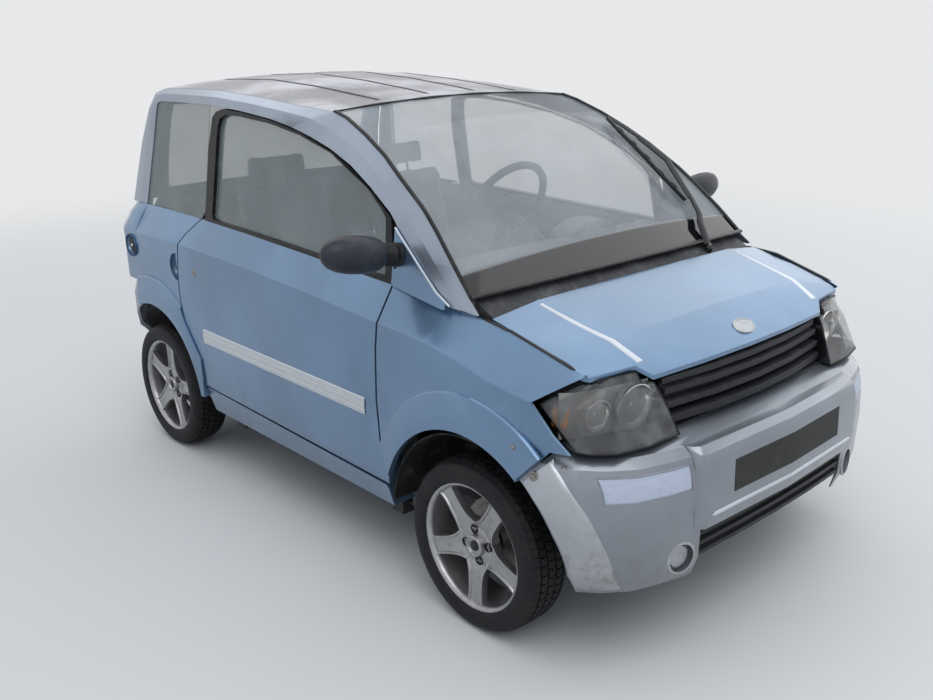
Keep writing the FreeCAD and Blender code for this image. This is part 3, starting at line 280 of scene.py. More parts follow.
@dataclass(frozen=True)
class MetallicPaint(Finish):
    """Metallic car paint with dust low down, scratches and faded clear coat."""

    colour: Triple
    wear: float
    metal: float

    def paint(self, board: Board) -> None:
        """Fill the board's tree."""
        deep = tuple(0.80 * c for c in self.colour)
        pale = tuple(0.22 + 0.70 * c for c in self.colour)
        cloud = board.noise(2.3, 3.0)
        colour = board.mix(board.band(cloud, 0.35, 0.7), deep, self.colour)
        flake = board.noise(900.0, 1.0)
        colour = board.mix(board.times(board.band(flake, 0.55, 0.75), 0.18), colour, pale)
        height = board.coordinate(2)
        dust = board.band(height, 0.62, 0.22)
        spots = board.band(board.noise(26.0, 5.0, 0.7), 0.42, 0.72)
        dust = board.times(dust, board.line(spots, 0.6, 0.25))
        dust = board.times(dust, self.wear, True)
        colour = board.mix(dust, colour, (0.20, 0.19, 0.17))
        scratch = board.band(board.noise(9.0, 6.0, 0.75, (1, 6, 14)), 0.69, 0.74)
        scratch = board.times(scratch, self.wear * 0.8, True)
        colour = board.mix(scratch, colour, pale)
        roughness = board.line(cloud, 0.12, 0.24)
        roughness = board.plus(roughness, board.times(dust, 0.5), True)
        board.shade(Base_Color=colour, Roughness=roughness, Metallic=self.metal)
        board.shade(Coat_Weight=0.55, Coat_Roughness=0.09)
        board.bump(board.noise(700.0, 2.0), 0.00012, 0.5)


@dataclass(frozen=True)
class PeeledPaint(Finish):
    """Dark roof paint whose clear coat has peeled in large patches."""

    colour: Triple = (0.16, 0.16, 0.18)
    bare: Triple = (0.58, 0.57, 0.60)

    def paint(self, board: Board) -> None:
        """Fill the board's tree."""
        cloud = board.noise(2.6, 5.0, 0.6)
        patch = board.band(cloud, 0.40, 0.62)
        fleck = board.band(board.noise(60.0, 4.0, 0.7), 0.5, 0.72)
        colour = board.mix(patch, self.colour, self.bare)
        colour = board.mix(board.times(fleck, 0.30), colour, (0.60, 0.59, 0.60))
        board.shade(Base_Color=colour, Metallic=0.15, Coat_Weight=0.25, Coat_Roughness=0.3)
        board.shade(Roughness=board.line(patch, 0.25, 0.30))
        board.bump(board.plus(cloud, board.times(fleck, 0.3)), 0.0009, 0.6)


@dataclass(frozen=True)
class GrainedPlastic(Finish):
    """Moulded plastic with a fine leather-like grain and some dust."""

    colour: Triple = (0.022, 0.023, 0.026)
    grain: float = 420.0
    rough: float = 0.55
    dust: float = 0.25
    relief: float = 0.00005
    gloss: float = 0.25

    def paint(self, board: Board) -> None:
        """Fill the board's tree."""
        pale = tuple(0.10 + c for c in self.colour)
        spots = board.band(board.noise(17.0, 6.0, 0.7), 0.45, 0.75)
        colour = board.mix(board.times(spots, self.dust), self.colour, pale)
        board.shade(Base_Color=colour, Roughness=board.line(spots, 0.2, self.rough - 0.1))
        board.shade(Specular_IOR_Level=self.gloss)
        board.bump(board.cells(self.grain), self.relief, 0.7)


@dataclass(frozen=True)
class Pane(Finish):
    """Window glass with a tint and a share that lets light through."""

    tint: Triple = (0.26, 0.32, 0.325)
    cover: float = 0.36
    haze: float = 0.12

    def paint(self, board: Board) -> None:
        """Fill the board's tree."""
        film = board.band(board.noise(5.0, 5.0, 0.6), 0.4, 0.75)
        pale = tuple(self.haze + c for c in self.tint)
        board.shade(Base_Color=board.mix(board.times(film, 0.6), self.tint, pale))
        board.shade(Alpha=board.line(film, 0.06, self.cover))
        board.shade(Roughness=board.line(film, 0.05, 0.02))
        board.shade(IOR=1.52, Coat_Weight=0.8, Coat_Roughness=0.02, Specular_IOR_Level=0.9)
        board.material.surface_render_method = "BLENDED"


@dataclass(frozen=True)
class ScreenGlass(Finish):
    """The windscreen: a clear pane with a pale base colour that is a painted sky reflection, and a dark band
    along its foot and its edges.
    """

    haze: Triple = (0.68, 0.74, 0.77)
    cover: float = 0.17
    band_top: float = 1.004

    def paint(self, board: Board) -> None:
        """Fill the board's tree."""
        film = board.band(board.noise(3.0, 4.0, 0.6), 0.3, 0.75)
        height = board.coordinate(2)
        across = board.calc("ABSOLUTE", board.coordinate(0))
        bow = board.times(board.times(across, across), 0.09)
        foot = board.band(board.plus(height, bow), self.band_top + 0.012, self.band_top)
        limit = board.calc("SUBTRACT", board.times(height, -0.155), -0.775)
        edge = board.band(board.calc("SUBTRACT", across, limit), -0.022, -0.017)
        dark = board.calc("MAXIMUM", foot, edge)
        # The pale colour is a painted reflection of the sky.
        board.shade(Base_Color=board.mix(dark, self.haze, (0.008, 0.008, 0.010)))
        clear = board.line(film, 0.10, self.cover)
        board.shade(Alpha=board.calc("MAXIMUM", clear, board.times(dark, 0.97)))
        board.shade(Roughness=board.line(film, 0.06, 0.03))
        board.shade(IOR=1.52, Coat_Weight=0.3, Coat_Roughness=0.02, Specular_IOR_Level=0.5)
        board.material.surface_render_method = "BLENDED"


@dataclass(frozen=True)
class LampLens(Finish):
    """A moulded lens, hazed and yellowed by the sun."""

    colour: Triple = (0.12, 0.125, 0.13)
    cover: float = 0.24

    def paint(self, board: Board) -> None:
        """Fill the board's tree."""
        film = board.band(board.noise(11.0, 5.0, 0.65), 0.35, 0.8)
        pale = tuple(min(1.0, 1.9 * c + 0.14) for c in self.colour)
        board.shade(Base_Color=board.mix(board.times(film, 0.7), self.colour, pale))
        board.shade(Alpha=board.line(film, 0.2, self.cover))
        board.shade(Roughness=board.line(film, 0.22, 0.08))
        board.shade(IOR=1.5, Coat_Weight=0.9, Coat_Roughness=0.05)
        board.bump(board.noise(220.0, 3.0), 0.0001, 0.4)
        board.material.surface_render_method = "BLENDED"


@dataclass(frozen=True)
class Rubber(Finish):
    """Worn road rubber with dust in its tread."""

    colour: Triple = (0.012, 0.012, 0.014)

    def paint(self, board: Board) -> None:
        """Fill the board's tree."""
        dust = board.band(board.noise(24.0, 6.0, 0.7), 0.42, 0.78)
        colour = board.mix(board.times(dust, 0.32), self.colour, (0.075, 0.071, 0.065))
        board.shade(Base_Color=colour, Roughness=board.line(dust, 0.25, 0.58))
        board.shade(Specular_IOR_Level=0.22)
        board.bump(board.noise(340.0, 4.0, 0.7), 0.0003, 0.6)


@dataclass(frozen=True)
class CastMetal(Finish):
    """Bare or painted metal with a speckle and patches of dirt."""

    colour: Triple
    rough: float
    metal: float
    dirt: float
    relief: float = 0.0002

    def paint(self, board: Board) -> None:
        """Fill the board's tree."""
        grime = board.band(board.noise(34.0, 6.0, 0.72), 0.45, 0.78)
        grime = board.times(grime, self.dirt)
        soot = tuple(0.28 * c for c in self.colour)
        board.shade(Base_Color=board.mix(grime, self.colour, soot), Metallic=self.metal)
        board.shade(Roughness=board.line(grime, 0.7, self.rough, True))
        board.bump(board.noise(520.0, 3.0), self.relief, 0.5)


@dataclass(frozen=True)
class SeatCloth(Finish):
    """Woven seat cloth with a soft sheen."""

    colour: Triple = (0.115, 0.150, 0.200)

    def paint(self, board: Board) -> None:
        """Fill the board's tree."""
        pale = tuple(1.5 * c + 0.02 for c in self.colour)
        warp = board.calc("SINE", board.times(board.coordinate(0), 2600.0))
        lengthwise = board.plus(board.coordinate(1), board.coordinate(2))
        weft = board.calc("SINE", board.times(lengthwise, 2600.0))
        weave = board.times(warp, weft)
        mottle = board.band(board.noise(40.0, 5.0, 0.7), 0.3, 0.8)
        colour = board.mix(board.times(mottle, 0.55), self.colour, pale)
        board.shade(Base_Color=board.mix(board.band(weave, 0.2, 0.9), colour, pale))
        board.shade(Roughness=0.9, Sheen_Weight=0.4, Sheen_Roughness=0.5)
        board.bump(weave, 0.0004, 0.6)


@dataclass(frozen=True)
class RibbedStrip(Finish):
    """Bright silver film on the door trims, marked by long fine lines."""

    colour: Triple = (0.62, 0.64, 0.67)

    def paint(self, board: Board) -> None:
        """Fill the board's tree."""
        streak = board.band(board.noise(8.0, 4.0, 0.6, (1, 1, 60)), 0.35, 0.7)
        board.shade(Base_Color=board.mix(board.times(streak, 0.3), self.colour, (0.42, 0.46, 0.52)))
        board.shade(Roughness=board.line(streak, 0.2, 0.22), Metallic=0.5)


@dataclass(frozen=True)
class InsetFilm(Finish):
    """Whitish film with fine level lines, for the bumper's shallow pockets."""

    colour: Triple = (0.50, 0.55, 0.68)

    def paint(self, board: Board) -> None:
        """Fill the board's tree."""
        lines = board.calc("SINE", board.times(board.coordinate(2), 1400.0))
        grime = board.band(board.noise(30.0, 5.0, 0.7, (1, 1, 3)), 0.5, 0.8)
        board.shade(Base_Color=board.mix(board.times(grime, 0.45), self.colour, (0.34, 0.34, 0.36)))
        board.shade(Roughness=board.line(grime, 0.3, 0.28))
        board.bump(lines, 0.0002, 0.5)


@dataclass(frozen=True)
class Palette:
    """The car's finishes by what they cover."""

    body: Finish = MetallicPaint((0.170, 0.285, 0.445), 0.30, 0.72)
    silver: Finish = MetallicPaint((0.335, 0.385, 0.465), 0.40, 0.75)
    scuffed: Finish = MetallicPaint((0.295, 0.325, 0.37), 0.55, 0.70)
    roof: Finish = PeeledPaint()
    trim: Finish = GrainedPlastic()
    cowl: Finish = GrainedPlastic((0.048, 0.050, 0.054), 260.0, 0.6, 0.8, 0.0006)
    mirror: Finish = GrainedPlastic((0.028, 0.031, 0.040), 600.0, 0.42, 0.3)
    seal: Finish = GrainedPlastic((0.010, 0.010, 0.012), 500.0, 0.5, 0.3)
    frame: Finish = GrainedPlastic((0.008, 0.008, 0.009), 700.0, 0.32, 0.2, 0.00005)
    plate: Finish = GrainedPlastic((0.022, 0.023, 0.022), 900.0, 0.62, 0.30, 0.00005)
    tinted: Finish = Pane()
    screen: Finish = ScreenGlass()
    lens: Finish = LampLens()
    amber: Finish = LampLens((0.75, 0.26, 0.03), 0.85)
    red: Finish = LampLens((0.32, 0.012, 0.012), 0.92)
    chrome: Finish = CastMetal((0.72, 0.72, 0.71), 0.12, 1.0, 0.25, 0.00005)
    alloy: Finish = CastMetal((0.41, 0.41, 0.42), 0.30, 0.9, 0.40)
    steel: Finish = CastMetal((0.22, 0.20, 0.19), 0.5, 0.8, 0.7)
    disc: Finish = CastMetal((0.30, 0.28, 0.26), 0.38, 0.9, 0.5)
    under: Finish = CastMetal((0.030, 0.030, 0.031), 0.65, 0.1, 0.5, 0.0004)
    engine: Finish = CastMetal((0.09, 0.09, 0.092), 0.6, 0.5, 0.6, 0.0005)
    rubber: Finish = Rubber()
    liner: Finish = GrainedPlastic((0.012, 0.012, 0.012), 220.0, 0.8, 0.6, 0.0005)
    cabin: Finish = GrainedPlastic((0.085, 0.092, 0.100), 480.0, 0.6, 0.3, 0.00003)
    floor: Finish = GrainedPlastic((0.030, 0.030, 0.032), 150.0, 0.95, 0.7, 0.0012)
    cloth: Finish = SeatCloth()
    strip: Finish = RibbedStrip()
    inset: Finish = InsetFilm()
    # Pale paint on bevels, folds and the bumper's ledge: a painted highlight where they catch the light.
    pale_edge: Finish = MetallicPaint((0.68, 0.74, 0.80), 0.4, 0.3)
    # Pale silver: the fog lamp blanks' own colour, and on the bumper's arch lips a painted highlight along
    # the flare.
    pale_silver: Finish = MetallicPaint((0.50, 0.53, 0.57), 0.9, 0.6)
    badge: Finish = CastMetal((0.42, 0.44, 0.47), 0.34, 0.9, 0.3, 0.00005)
    bezel: Finish = CastMetal((0.30, 0.30, 0.29), 0.35, 0.8, 0.3, 0.00005)
    looking_glass: Finish = CastMetal((0.70, 0.72, 0.73), 0.03, 1.0, 0.1, 0.00001)


PALETTE = Palette()


# Tools that find, mould and repeat shapes. They work in millimetres until a piece is cast.


class Feeler:
    """Finds the outside of CAD nodes with rays."""

    def __init__(self, *nodes: str) -> None:
        """Gather the nodes' triangles.

        Args:
            nodes: The CAD nodes that the rays may hit.
        """
        corners: list[Vector] = []
        faces: list[tuple[int, ...]] = []
        for node in nodes:
            mesh = frame["nodes"][node].data
            base = len(corners)
            corners += [vertex.co / MM for vertex in mesh.vertices]
            faces += [tuple(base + i for i in polygon.vertices) for polygon in mesh.polygons]
        self.tree = BVHTree.FromPolygons(corners, faces)

    def feel(self, axis: Axis, first: float, second: float, side: Side = Side.RIGHT) -> Vector:
        """Where a ray from outside meets the nodes.

        Args:
            axis: The side it comes from.
            first: The lesser free coordinate: Y from the side, X from the front, rear or top.
            second: The other free coordinate.
            side: The car's side, for rays from the side.

        Returns:
            The point that is hit.
        """
        start, way = {
            Axis.SIDE: (Vector((side.value * 2000, first, second)), Vector((-side.value, 0, 0))),
            Axis.FRONT: (Vector((first, -3000, second)), Vector((0, 1, 0))),
            Axis.REAR: (Vector((first, 3000, second)), Vector((0, -1, 0))),
            Axis.TOP: (Vector((first, second, 3000)), Vector((0, 0, -1))),
        }[axis]
        hit = self.tree.ray_cast(start, way)[0]
        if hit is None:
            near = self.tree.find_nearest(start + way * 1500)[0]
            log.warning("a %s ray at %.0f, %.0f missed", axis.name, first, second)
            return near
        return hit

    def row(self, axis: Axis, firsts: Sequence[float], second: float, lift: Triple = (0, 0, 0)) -> Row:
        """Points felt along a line, each lifted off what it hits."""
        return [self.feel(axis, first, second) + Vector(lift) for first in firsts]


class Mould:
    """Faces on their way to one piece. Each method that adds faces returns the mould, for the next one."""

    def __init__(self) -> None:
        """Start empty."""
        self.mesh = bmesh.new()

    def skin(self, rows: Sequence[Row], ring: bool = False, ends: bool = False) -> "Mould":
        """Quads between rows of points.

        Args:
            rows: Rows with the same number of points.
            ring: Whether each row closes on itself.
            ends: Whether the first and last rows are filled.
        """
        made = [[self.mesh.verts.new(point) for point in row] for row in rows]
        for low, high in zip(made, made[1:]):
            for i in range(len(low) if ring else len(low) - 1):
                j = (i + 1) % len(low)
                self.mesh.faces.new((low[i], low[j], high[j], high[i]))
        if ends:
            self.mesh.faces.new(made[0][::-1])
            self.mesh.faces.new(made[-1])
        return self

    def sheet(self, rows: Sequence[Row], depth: Vector, rise: Vector | None = None) -> "Mould":
        """A skin with thickness.

        Args:
            rows: The surface that carries the sheet.
            depth: From the outer face to the inner one.
            rise: From the carrying surface to the outer face, none by default.
        """
        lift = rise or Vector()
        rings = [[p + lift for p in row] + [p + lift + depth for p in reversed(row)] for row in rows]
        return self.skin(rings, ring=True, ends=True)

    def prism(self, outline: Sequence[Vector], depth: Vector) -> "Mould":
        """An outline pushed along a depth."""
        return self.skin([list(outline), [point + depth for point in outline]], ring=True, ends=True)

    def lathe(
        self, profile: Sequence[Pair], centre: Vector, axis: Vector, steps: int = 48,
        loop: bool = False,
    ) -> "Mould":
        """A profile turned round an axis.

        Args:
            profile: Pairs of place along the axis and radius.
            centre: A point on the axis.
            axis: The axis's direction.
            steps: Segments round.
            loop: Whether the profile closes on itself.
        """
        way = axis.normalized()
        out = way.orthogonal().normalized()
        rows = []
        for angle in round_angles(steps):
            spoke = Matrix.Rotation(angle, 3, way) @ out
            rows.append([centre + way * along + spoke * radius for along, radius in profile])
        return self.skin(rows + rows[:1], ring=loop)

    def tube(
        self, path: Sequence[Vector], radii: float | Sequence[float], sides: int = 10, flat: float = 1.0,
        up: Vector = Z_AXIS,
    ) -> "Mould":
        """A rod along a path.

        Args:
            path: The points of its middle.
            radii: Its radius, or one for each point.
            sides: Segments round.
            flat: Its thickness along up, as a share of its width.
            up: The direction that is flattened.
        """
        rings = []
        for i, point in enumerate(path):
            ahead = (path[min(i + 1, len(path) - 1)] - path[max(i - 1, 0)]).normalized()
            wide = ahead.cross(up).normalized()
            high = wide.cross(ahead)
            radius = radii if isinstance(radii, (int, float)) else radii[i]
            rings.append([
                point + (wide * math.cos(a) + high * math.sin(a) * flat) * radius for a in round_angles(sides)
            ])
        return self.skin(rings, ring=True, ends=True)

    def mirrored(self) -> "Mould":
        """Adds the same faces on the other side of the car."""
        faces = list(self.mesh.faces)
        copies = {v: self.mesh.verts.new((-v.co.x, v.co.y, v.co.z)) for v in list(self.mesh.verts)}
        for face in faces:
            self.mesh.faces.new([copies[v] for v in reversed(face.verts)])
        return self

    def data(self, name: str) -> bpy.types.Mesh:
        """The faces as a mesh in metres, merged and facing outwards.

        Args:
            name: The mesh's name.

        Returns:
            The mesh.
        """
        bmesh.ops.remove_doubles(self.mesh, verts=self.mesh.verts, dist=0.01)
        bmesh.ops.dissolve_degenerate(self.mesh, edges=self.mesh.edges, dist=0.005)
        bmesh.ops.recalc_face_normals(self.mesh, faces=self.mesh.faces)
        bmesh.ops.scale(self.mesh, vec=(MM, MM, MM), verts=self.mesh.verts)
        mesh = bpy.data.meshes.new(name)
        self.mesh.to_mesh(mesh)
        self.mesh.free()
        return mesh

    def cast(self, name: str, finish: Finish, body: str = "body", **options: object) -> bpy.types.Object:
        """Turn the faces into a piece, with set_up's options."""
        return set_up(self.data(name), name, finish, body, **options)


def stand(name: str, data: bpy.types.ID) -> bpy.types.Object:
    """A new object in the scene."""
    made = bpy.data.objects.new(name, data)
    bpy.context.scene.collection.objects.link(made)
    return made


def settled(thing: bpy.types.Object) -> bpy.types.Mesh:
    """An object's mesh with its modifiers applied."""
    graph = bpy.context.evaluated_depsgraph_get()
    return bpy.data.meshes.new_from_object(thing.evaluated_get(graph))


def merged(node: str) -> bmesh.types.BMesh:
    """A working copy of a CAD node whose triangles share their corners."""
    work = bmesh.new()
    work.from_mesh(frame["nodes"][node].data)
    bmesh.ops.remove_doubles(work, verts=work.verts, dist=MERGE_DISTANCE)
    return work


def flattened(work: bmesh.types.BMesh, name: str) -> bpy.types.Mesh:
    """A working copy as a mesh, without the edges that cross its flat faces.

    Args:
        work: The working copy, used up here.
        name: The mesh's name.

    Returns:
        The mesh.
    """
    bmesh.ops.dissolve_limit(work, angle_limit=FLAT_ANGLE, verts=work.verts, edges=work.edges)
    mesh = bpy.data.meshes.new(name)
    work.to_mesh(mesh)
    work.free()
    return mesh


def set_up(
    mesh: bpy.types.Mesh, name: str, finish: Finish, body: str, *, sharp: float = 34.0, bevel: float = 0.0,
    stands_for: Sequence[str] = (), slot: str | None = None,
) -> bpy.types.Object:
    """Make a piece of a mesh in metres.

    Args:
        mesh: The mesh.
        name: The piece's name.
        finish: Its finish.
        body: The CAD body that it moves with.
        sharp: The angle in degrees above which an edge stays sharp.
        bevel: The width of the rounding on its edges, in millimetres.
        stands_for: The CAD nodes that it replaces.
        slot: The record's material slot; not used.

    Returns:
        The piece, set on its body.
    """
    piece = stand(name, mesh)
    mesh.materials.clear()
    mesh.materials.append(finish.material())
    mesh.shade_smooth()
    mesh.set_sharp_from_angle(angle=math.radians(sharp))
    if bevel:
        rounding = piece.modifiers.new("rounding", "BEVEL")
        rounding.width = bevel * MM
        rounding.segments = 2
        rounding.limit_method = "ANGLE"
        rounding.angle_limit = math.radians(sharp)
        rounding.harden_normals = True
    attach(piece, body)
    if stands_for:
        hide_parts(*stands_for)
    log.info("piece %s on %s", name, body)
    return piece


def body_of(node: str) -> str:
    """The CAD body that a node belongs to."""
    return next(name for name, nodes in frame["record"]["behaviour"]["bodies"].items() if node in nodes)


def dress(
    node: str, finish: Finish, bevel: float = 1.6, sharp: float = 30.0, cuts: Sequence[Mould] = ()
) -> bpy.types.Object:
    """A merged copy of a CAD node with softened edges, which stands for it.

    Args:
        node: The CAD node.
        finish: Its finish.
        bevel: The width of the rounding on its edges, in millimetres.
        sharp: The angle in degrees above which an edge stays sharp.
        cuts: Forms that are taken out of it.

    Returns:
        The piece.
    """
    mesh = flattened(merged(node), node + "_dressed")
    for number, cutter in enumerate(cuts):
        mesh = carve(mesh, cutter.data(f"{node}_cut_{number}"))
    return set_up(mesh, node + "_dressed", finish, body_of(node), sharp=sharp, bevel=bevel, stands_for=[node])


def carve(mesh: bpy.types.Mesh, cutter: bpy.types.Mesh) -> bpy.types.Mesh:
    """Take one closed mesh out of another.

    Args:
        mesh: What is cut.
        cutter: What is taken out.

    Returns:
        The cut mesh.
    """
    stock, blade = stand("stock", mesh), stand("blade", cutter)
    modifier = stock.modifiers.new("cut", "BOOLEAN")
    modifier.operation = "DIFFERENCE"
    modifier.solver = "EXACT"
    modifier.object = blade
    bpy.context.view_layer.update()
    result = settled(stock)
    for made in (stock, blade):
        bpy.data.objects.remove(made)
    return result


class Repeat:
    """A Geometry Nodes tree that sets copies of one pattern, with named inputs."""

    def __init__(self, name: str, inputs: dict[str, str]) -> None:
        """Start the tree.

        Args:
            name: The tree's name.
            inputs: Socket types by input name, beside the pattern and the finish.
        """
        self.tree = bpy.data.node_groups.new(name, "GeometryNodeTree")
        face = self.tree.interface
        face.new_socket("Geometry", in_out="INPUT", socket_type="NodeSocketGeometry")
        face.new_socket("Geometry", in_out="OUTPUT", socket_type="NodeSocketGeometry")
        for key, kind in {"Pattern": "NodeSocketObject", "Finish": "NodeSocketMaterial", **inputs}.items():
            face.new_socket(key, in_out="INPUT", socket_type=kind)
        self.source = self.tree.nodes.new("NodeGroupInput")
        pattern = self.tree.nodes.new("GeometryNodeObjectInfo")
        self.link(self.source.outputs["Pattern"], pattern.inputs["Object"])
        self.copies = self.tree.nodes.new("GeometryNodeInstanceOnPoints")
        self.link(pattern.outputs["Geometry"], self.copies.inputs["Instance"])
        real = self.tree.nodes.new("GeometryNodeRealizeInstances")
        dye = self.tree.nodes.new("GeometryNodeSetMaterial")
        self.end = self.tree.nodes.new("NodeGroupOutput")
        self.link(self.copies.outputs[0], real.inputs[0])
        self.link(real.outputs[0], dye.inputs["Geometry"])
        self.link(self.source.outputs["Finish"], dye.inputs["Material"])
        self.link(dye.outputs[0], self.end.inputs[0])

    def link(self, output: Socket, target: Socket) -> None:
        """Join two sockets of the tree."""
        self.tree.links.new(output, target)

    def run(
        self, name: str, pattern: Mould, finish: Finish, body: str, values: dict[str, object],
        host: bpy.types.Mesh, **options: object,
    ) -> bpy.types.Object:
        """Make the copies and keep them as a plain mesh.

        Args:
            name: The piece's name.
            pattern: What is copied.
            finish: The copies' finish.
            body: The CAD body that they move with.
            values: The tree's inputs by name.
            host: The mesh that the tree starts from.
            options: As for set_up.

        Returns:
            The piece.
        """
        template = stand(name + "_pattern", pattern.data(name + "_one"))
        holder = stand(name + "_holder", host)
        modifier = holder.modifiers.new("repeat", "NODES")
        modifier.node_group = self.tree
        values = {"Pattern": template, "Finish": finish.material(), **values}
        for item in self.tree.interface.items_tree:
            if item.in_out == "INPUT" and item.name in values:
                modifier[item.identifier] = values[item.name]
        bpy.context.view_layer.update()
        result = settled(holder)
        result.name = name
        for made in (template, holder):
            bpy.data.objects.remove(made)
        return set_up(result, name, finish, body, **options)


class RingRepeat(Repeat):
    """Copies at equal angles round an axle along X."""

    def __init__(self) -> None:
        """Build the tree."""
        sockets = {"Count": "NodeSocketInt", "Start": "NodeSocketFloat", "Centre": "NodeSocketVector"}
        super().__init__("ring_repeat", sockets)
        points = self.tree.nodes.new("GeometryNodePoints")
        self.link(self.source.outputs["Count"], points.inputs["Count"])
        self.link(self.source.outputs["Centre"], points.inputs["Position"])
        index = self.tree.nodes.new("GeometryNodeInputIndex")
        step = self.maths("DIVIDE", 2 * math.pi, self.source.outputs["Count"])
        angle = self.maths("MULTIPLY", index.outputs[0], step)
        angle = self.maths("ADD", angle, self.source.outputs["Start"])
        turn = self.tree.nodes.new("ShaderNodeCombineXYZ")
        self.link(angle, turn.inputs["X"])
        self.link(points.outputs[0], self.copies.inputs["Points"])
        self.link(turn.outputs[0], self.copies.inputs["Rotation"])

    def maths(self, operation: str, first: object, second: object) -> Socket:
        """One sum in the tree, on sockets or numbers."""
        node = self.tree.nodes.new("ShaderNodeMath")
        node.operation = operation
        for socket, value in zip(node.inputs, (first, second)):
            if isinstance(value, Socket):
                self.link(value, socket)
            else:
                socket.default_value = value
        return node.outputs[0]

    def make(
        self, name: str, pattern: Mould, finish: Finish, body: str, count: int, start: float, centre: Vector,
        **options: object,
    ) -> bpy.types.Object:
        """Copies of a pattern about the origin, set round a centre from a start angle in radians."""
        values = {"Count": count, "Start": start, "Centre": tuple(centre * MM)}
        return self.run(name, pattern, finish, body, values, bpy.data.meshes.new(name + "_host"), **options)


class MarkRepeat(Repeat):
    """Copies at marked points, each turned by its mark."""

    def __init__(self) -> None:
        """Build the tree."""
        super().__init__("mark_repeat", {})
        turn = self.tree.nodes.new("GeometryNodeInputNamedAttribute")
        turn.data_type = "FLOAT_VECTOR"
        turn.inputs["Name"].default_value = "turn"
        self.link(self.source.outputs["Geometry"], self.copies.inputs["Points"])
        self.link(turn.outputs["Attribute"], self.copies.inputs["Rotation"])

    def make(
        self, name: str, pattern: Mould, finish: Finish, body: str, marks: Sequence[tuple[Vector, Vector]]
    ) -> bpy.types.Object:
        """Copies whose Z axis points along each mark's direction.

        Args:
            name: The piece's name.
            pattern: The pattern about the origin.
            finish: Its finish.
            body: The CAD body that they move with.
            marks: Places and directions.

        Returns:
            The piece.
        """
        host = bpy.data.meshes.new(name + "_host")
        host.from_pydata([place * MM for place, _ in marks], [], [])
        turns = host.attributes.new("turn", "FLOAT_VECTOR", "POINT")
        for item, (_, way) in zip(turns.data, marks):
            item.vector = way.to_track_quat("Z", "Y").to_euler()
        return self.run(name, pattern, finish, body, {}, host)


RING = RingRepeat()
MARKS = MarkRepeat()


# Sub-assemblies. Places are (X, Y, Z) in the car's frame, in millimetres.


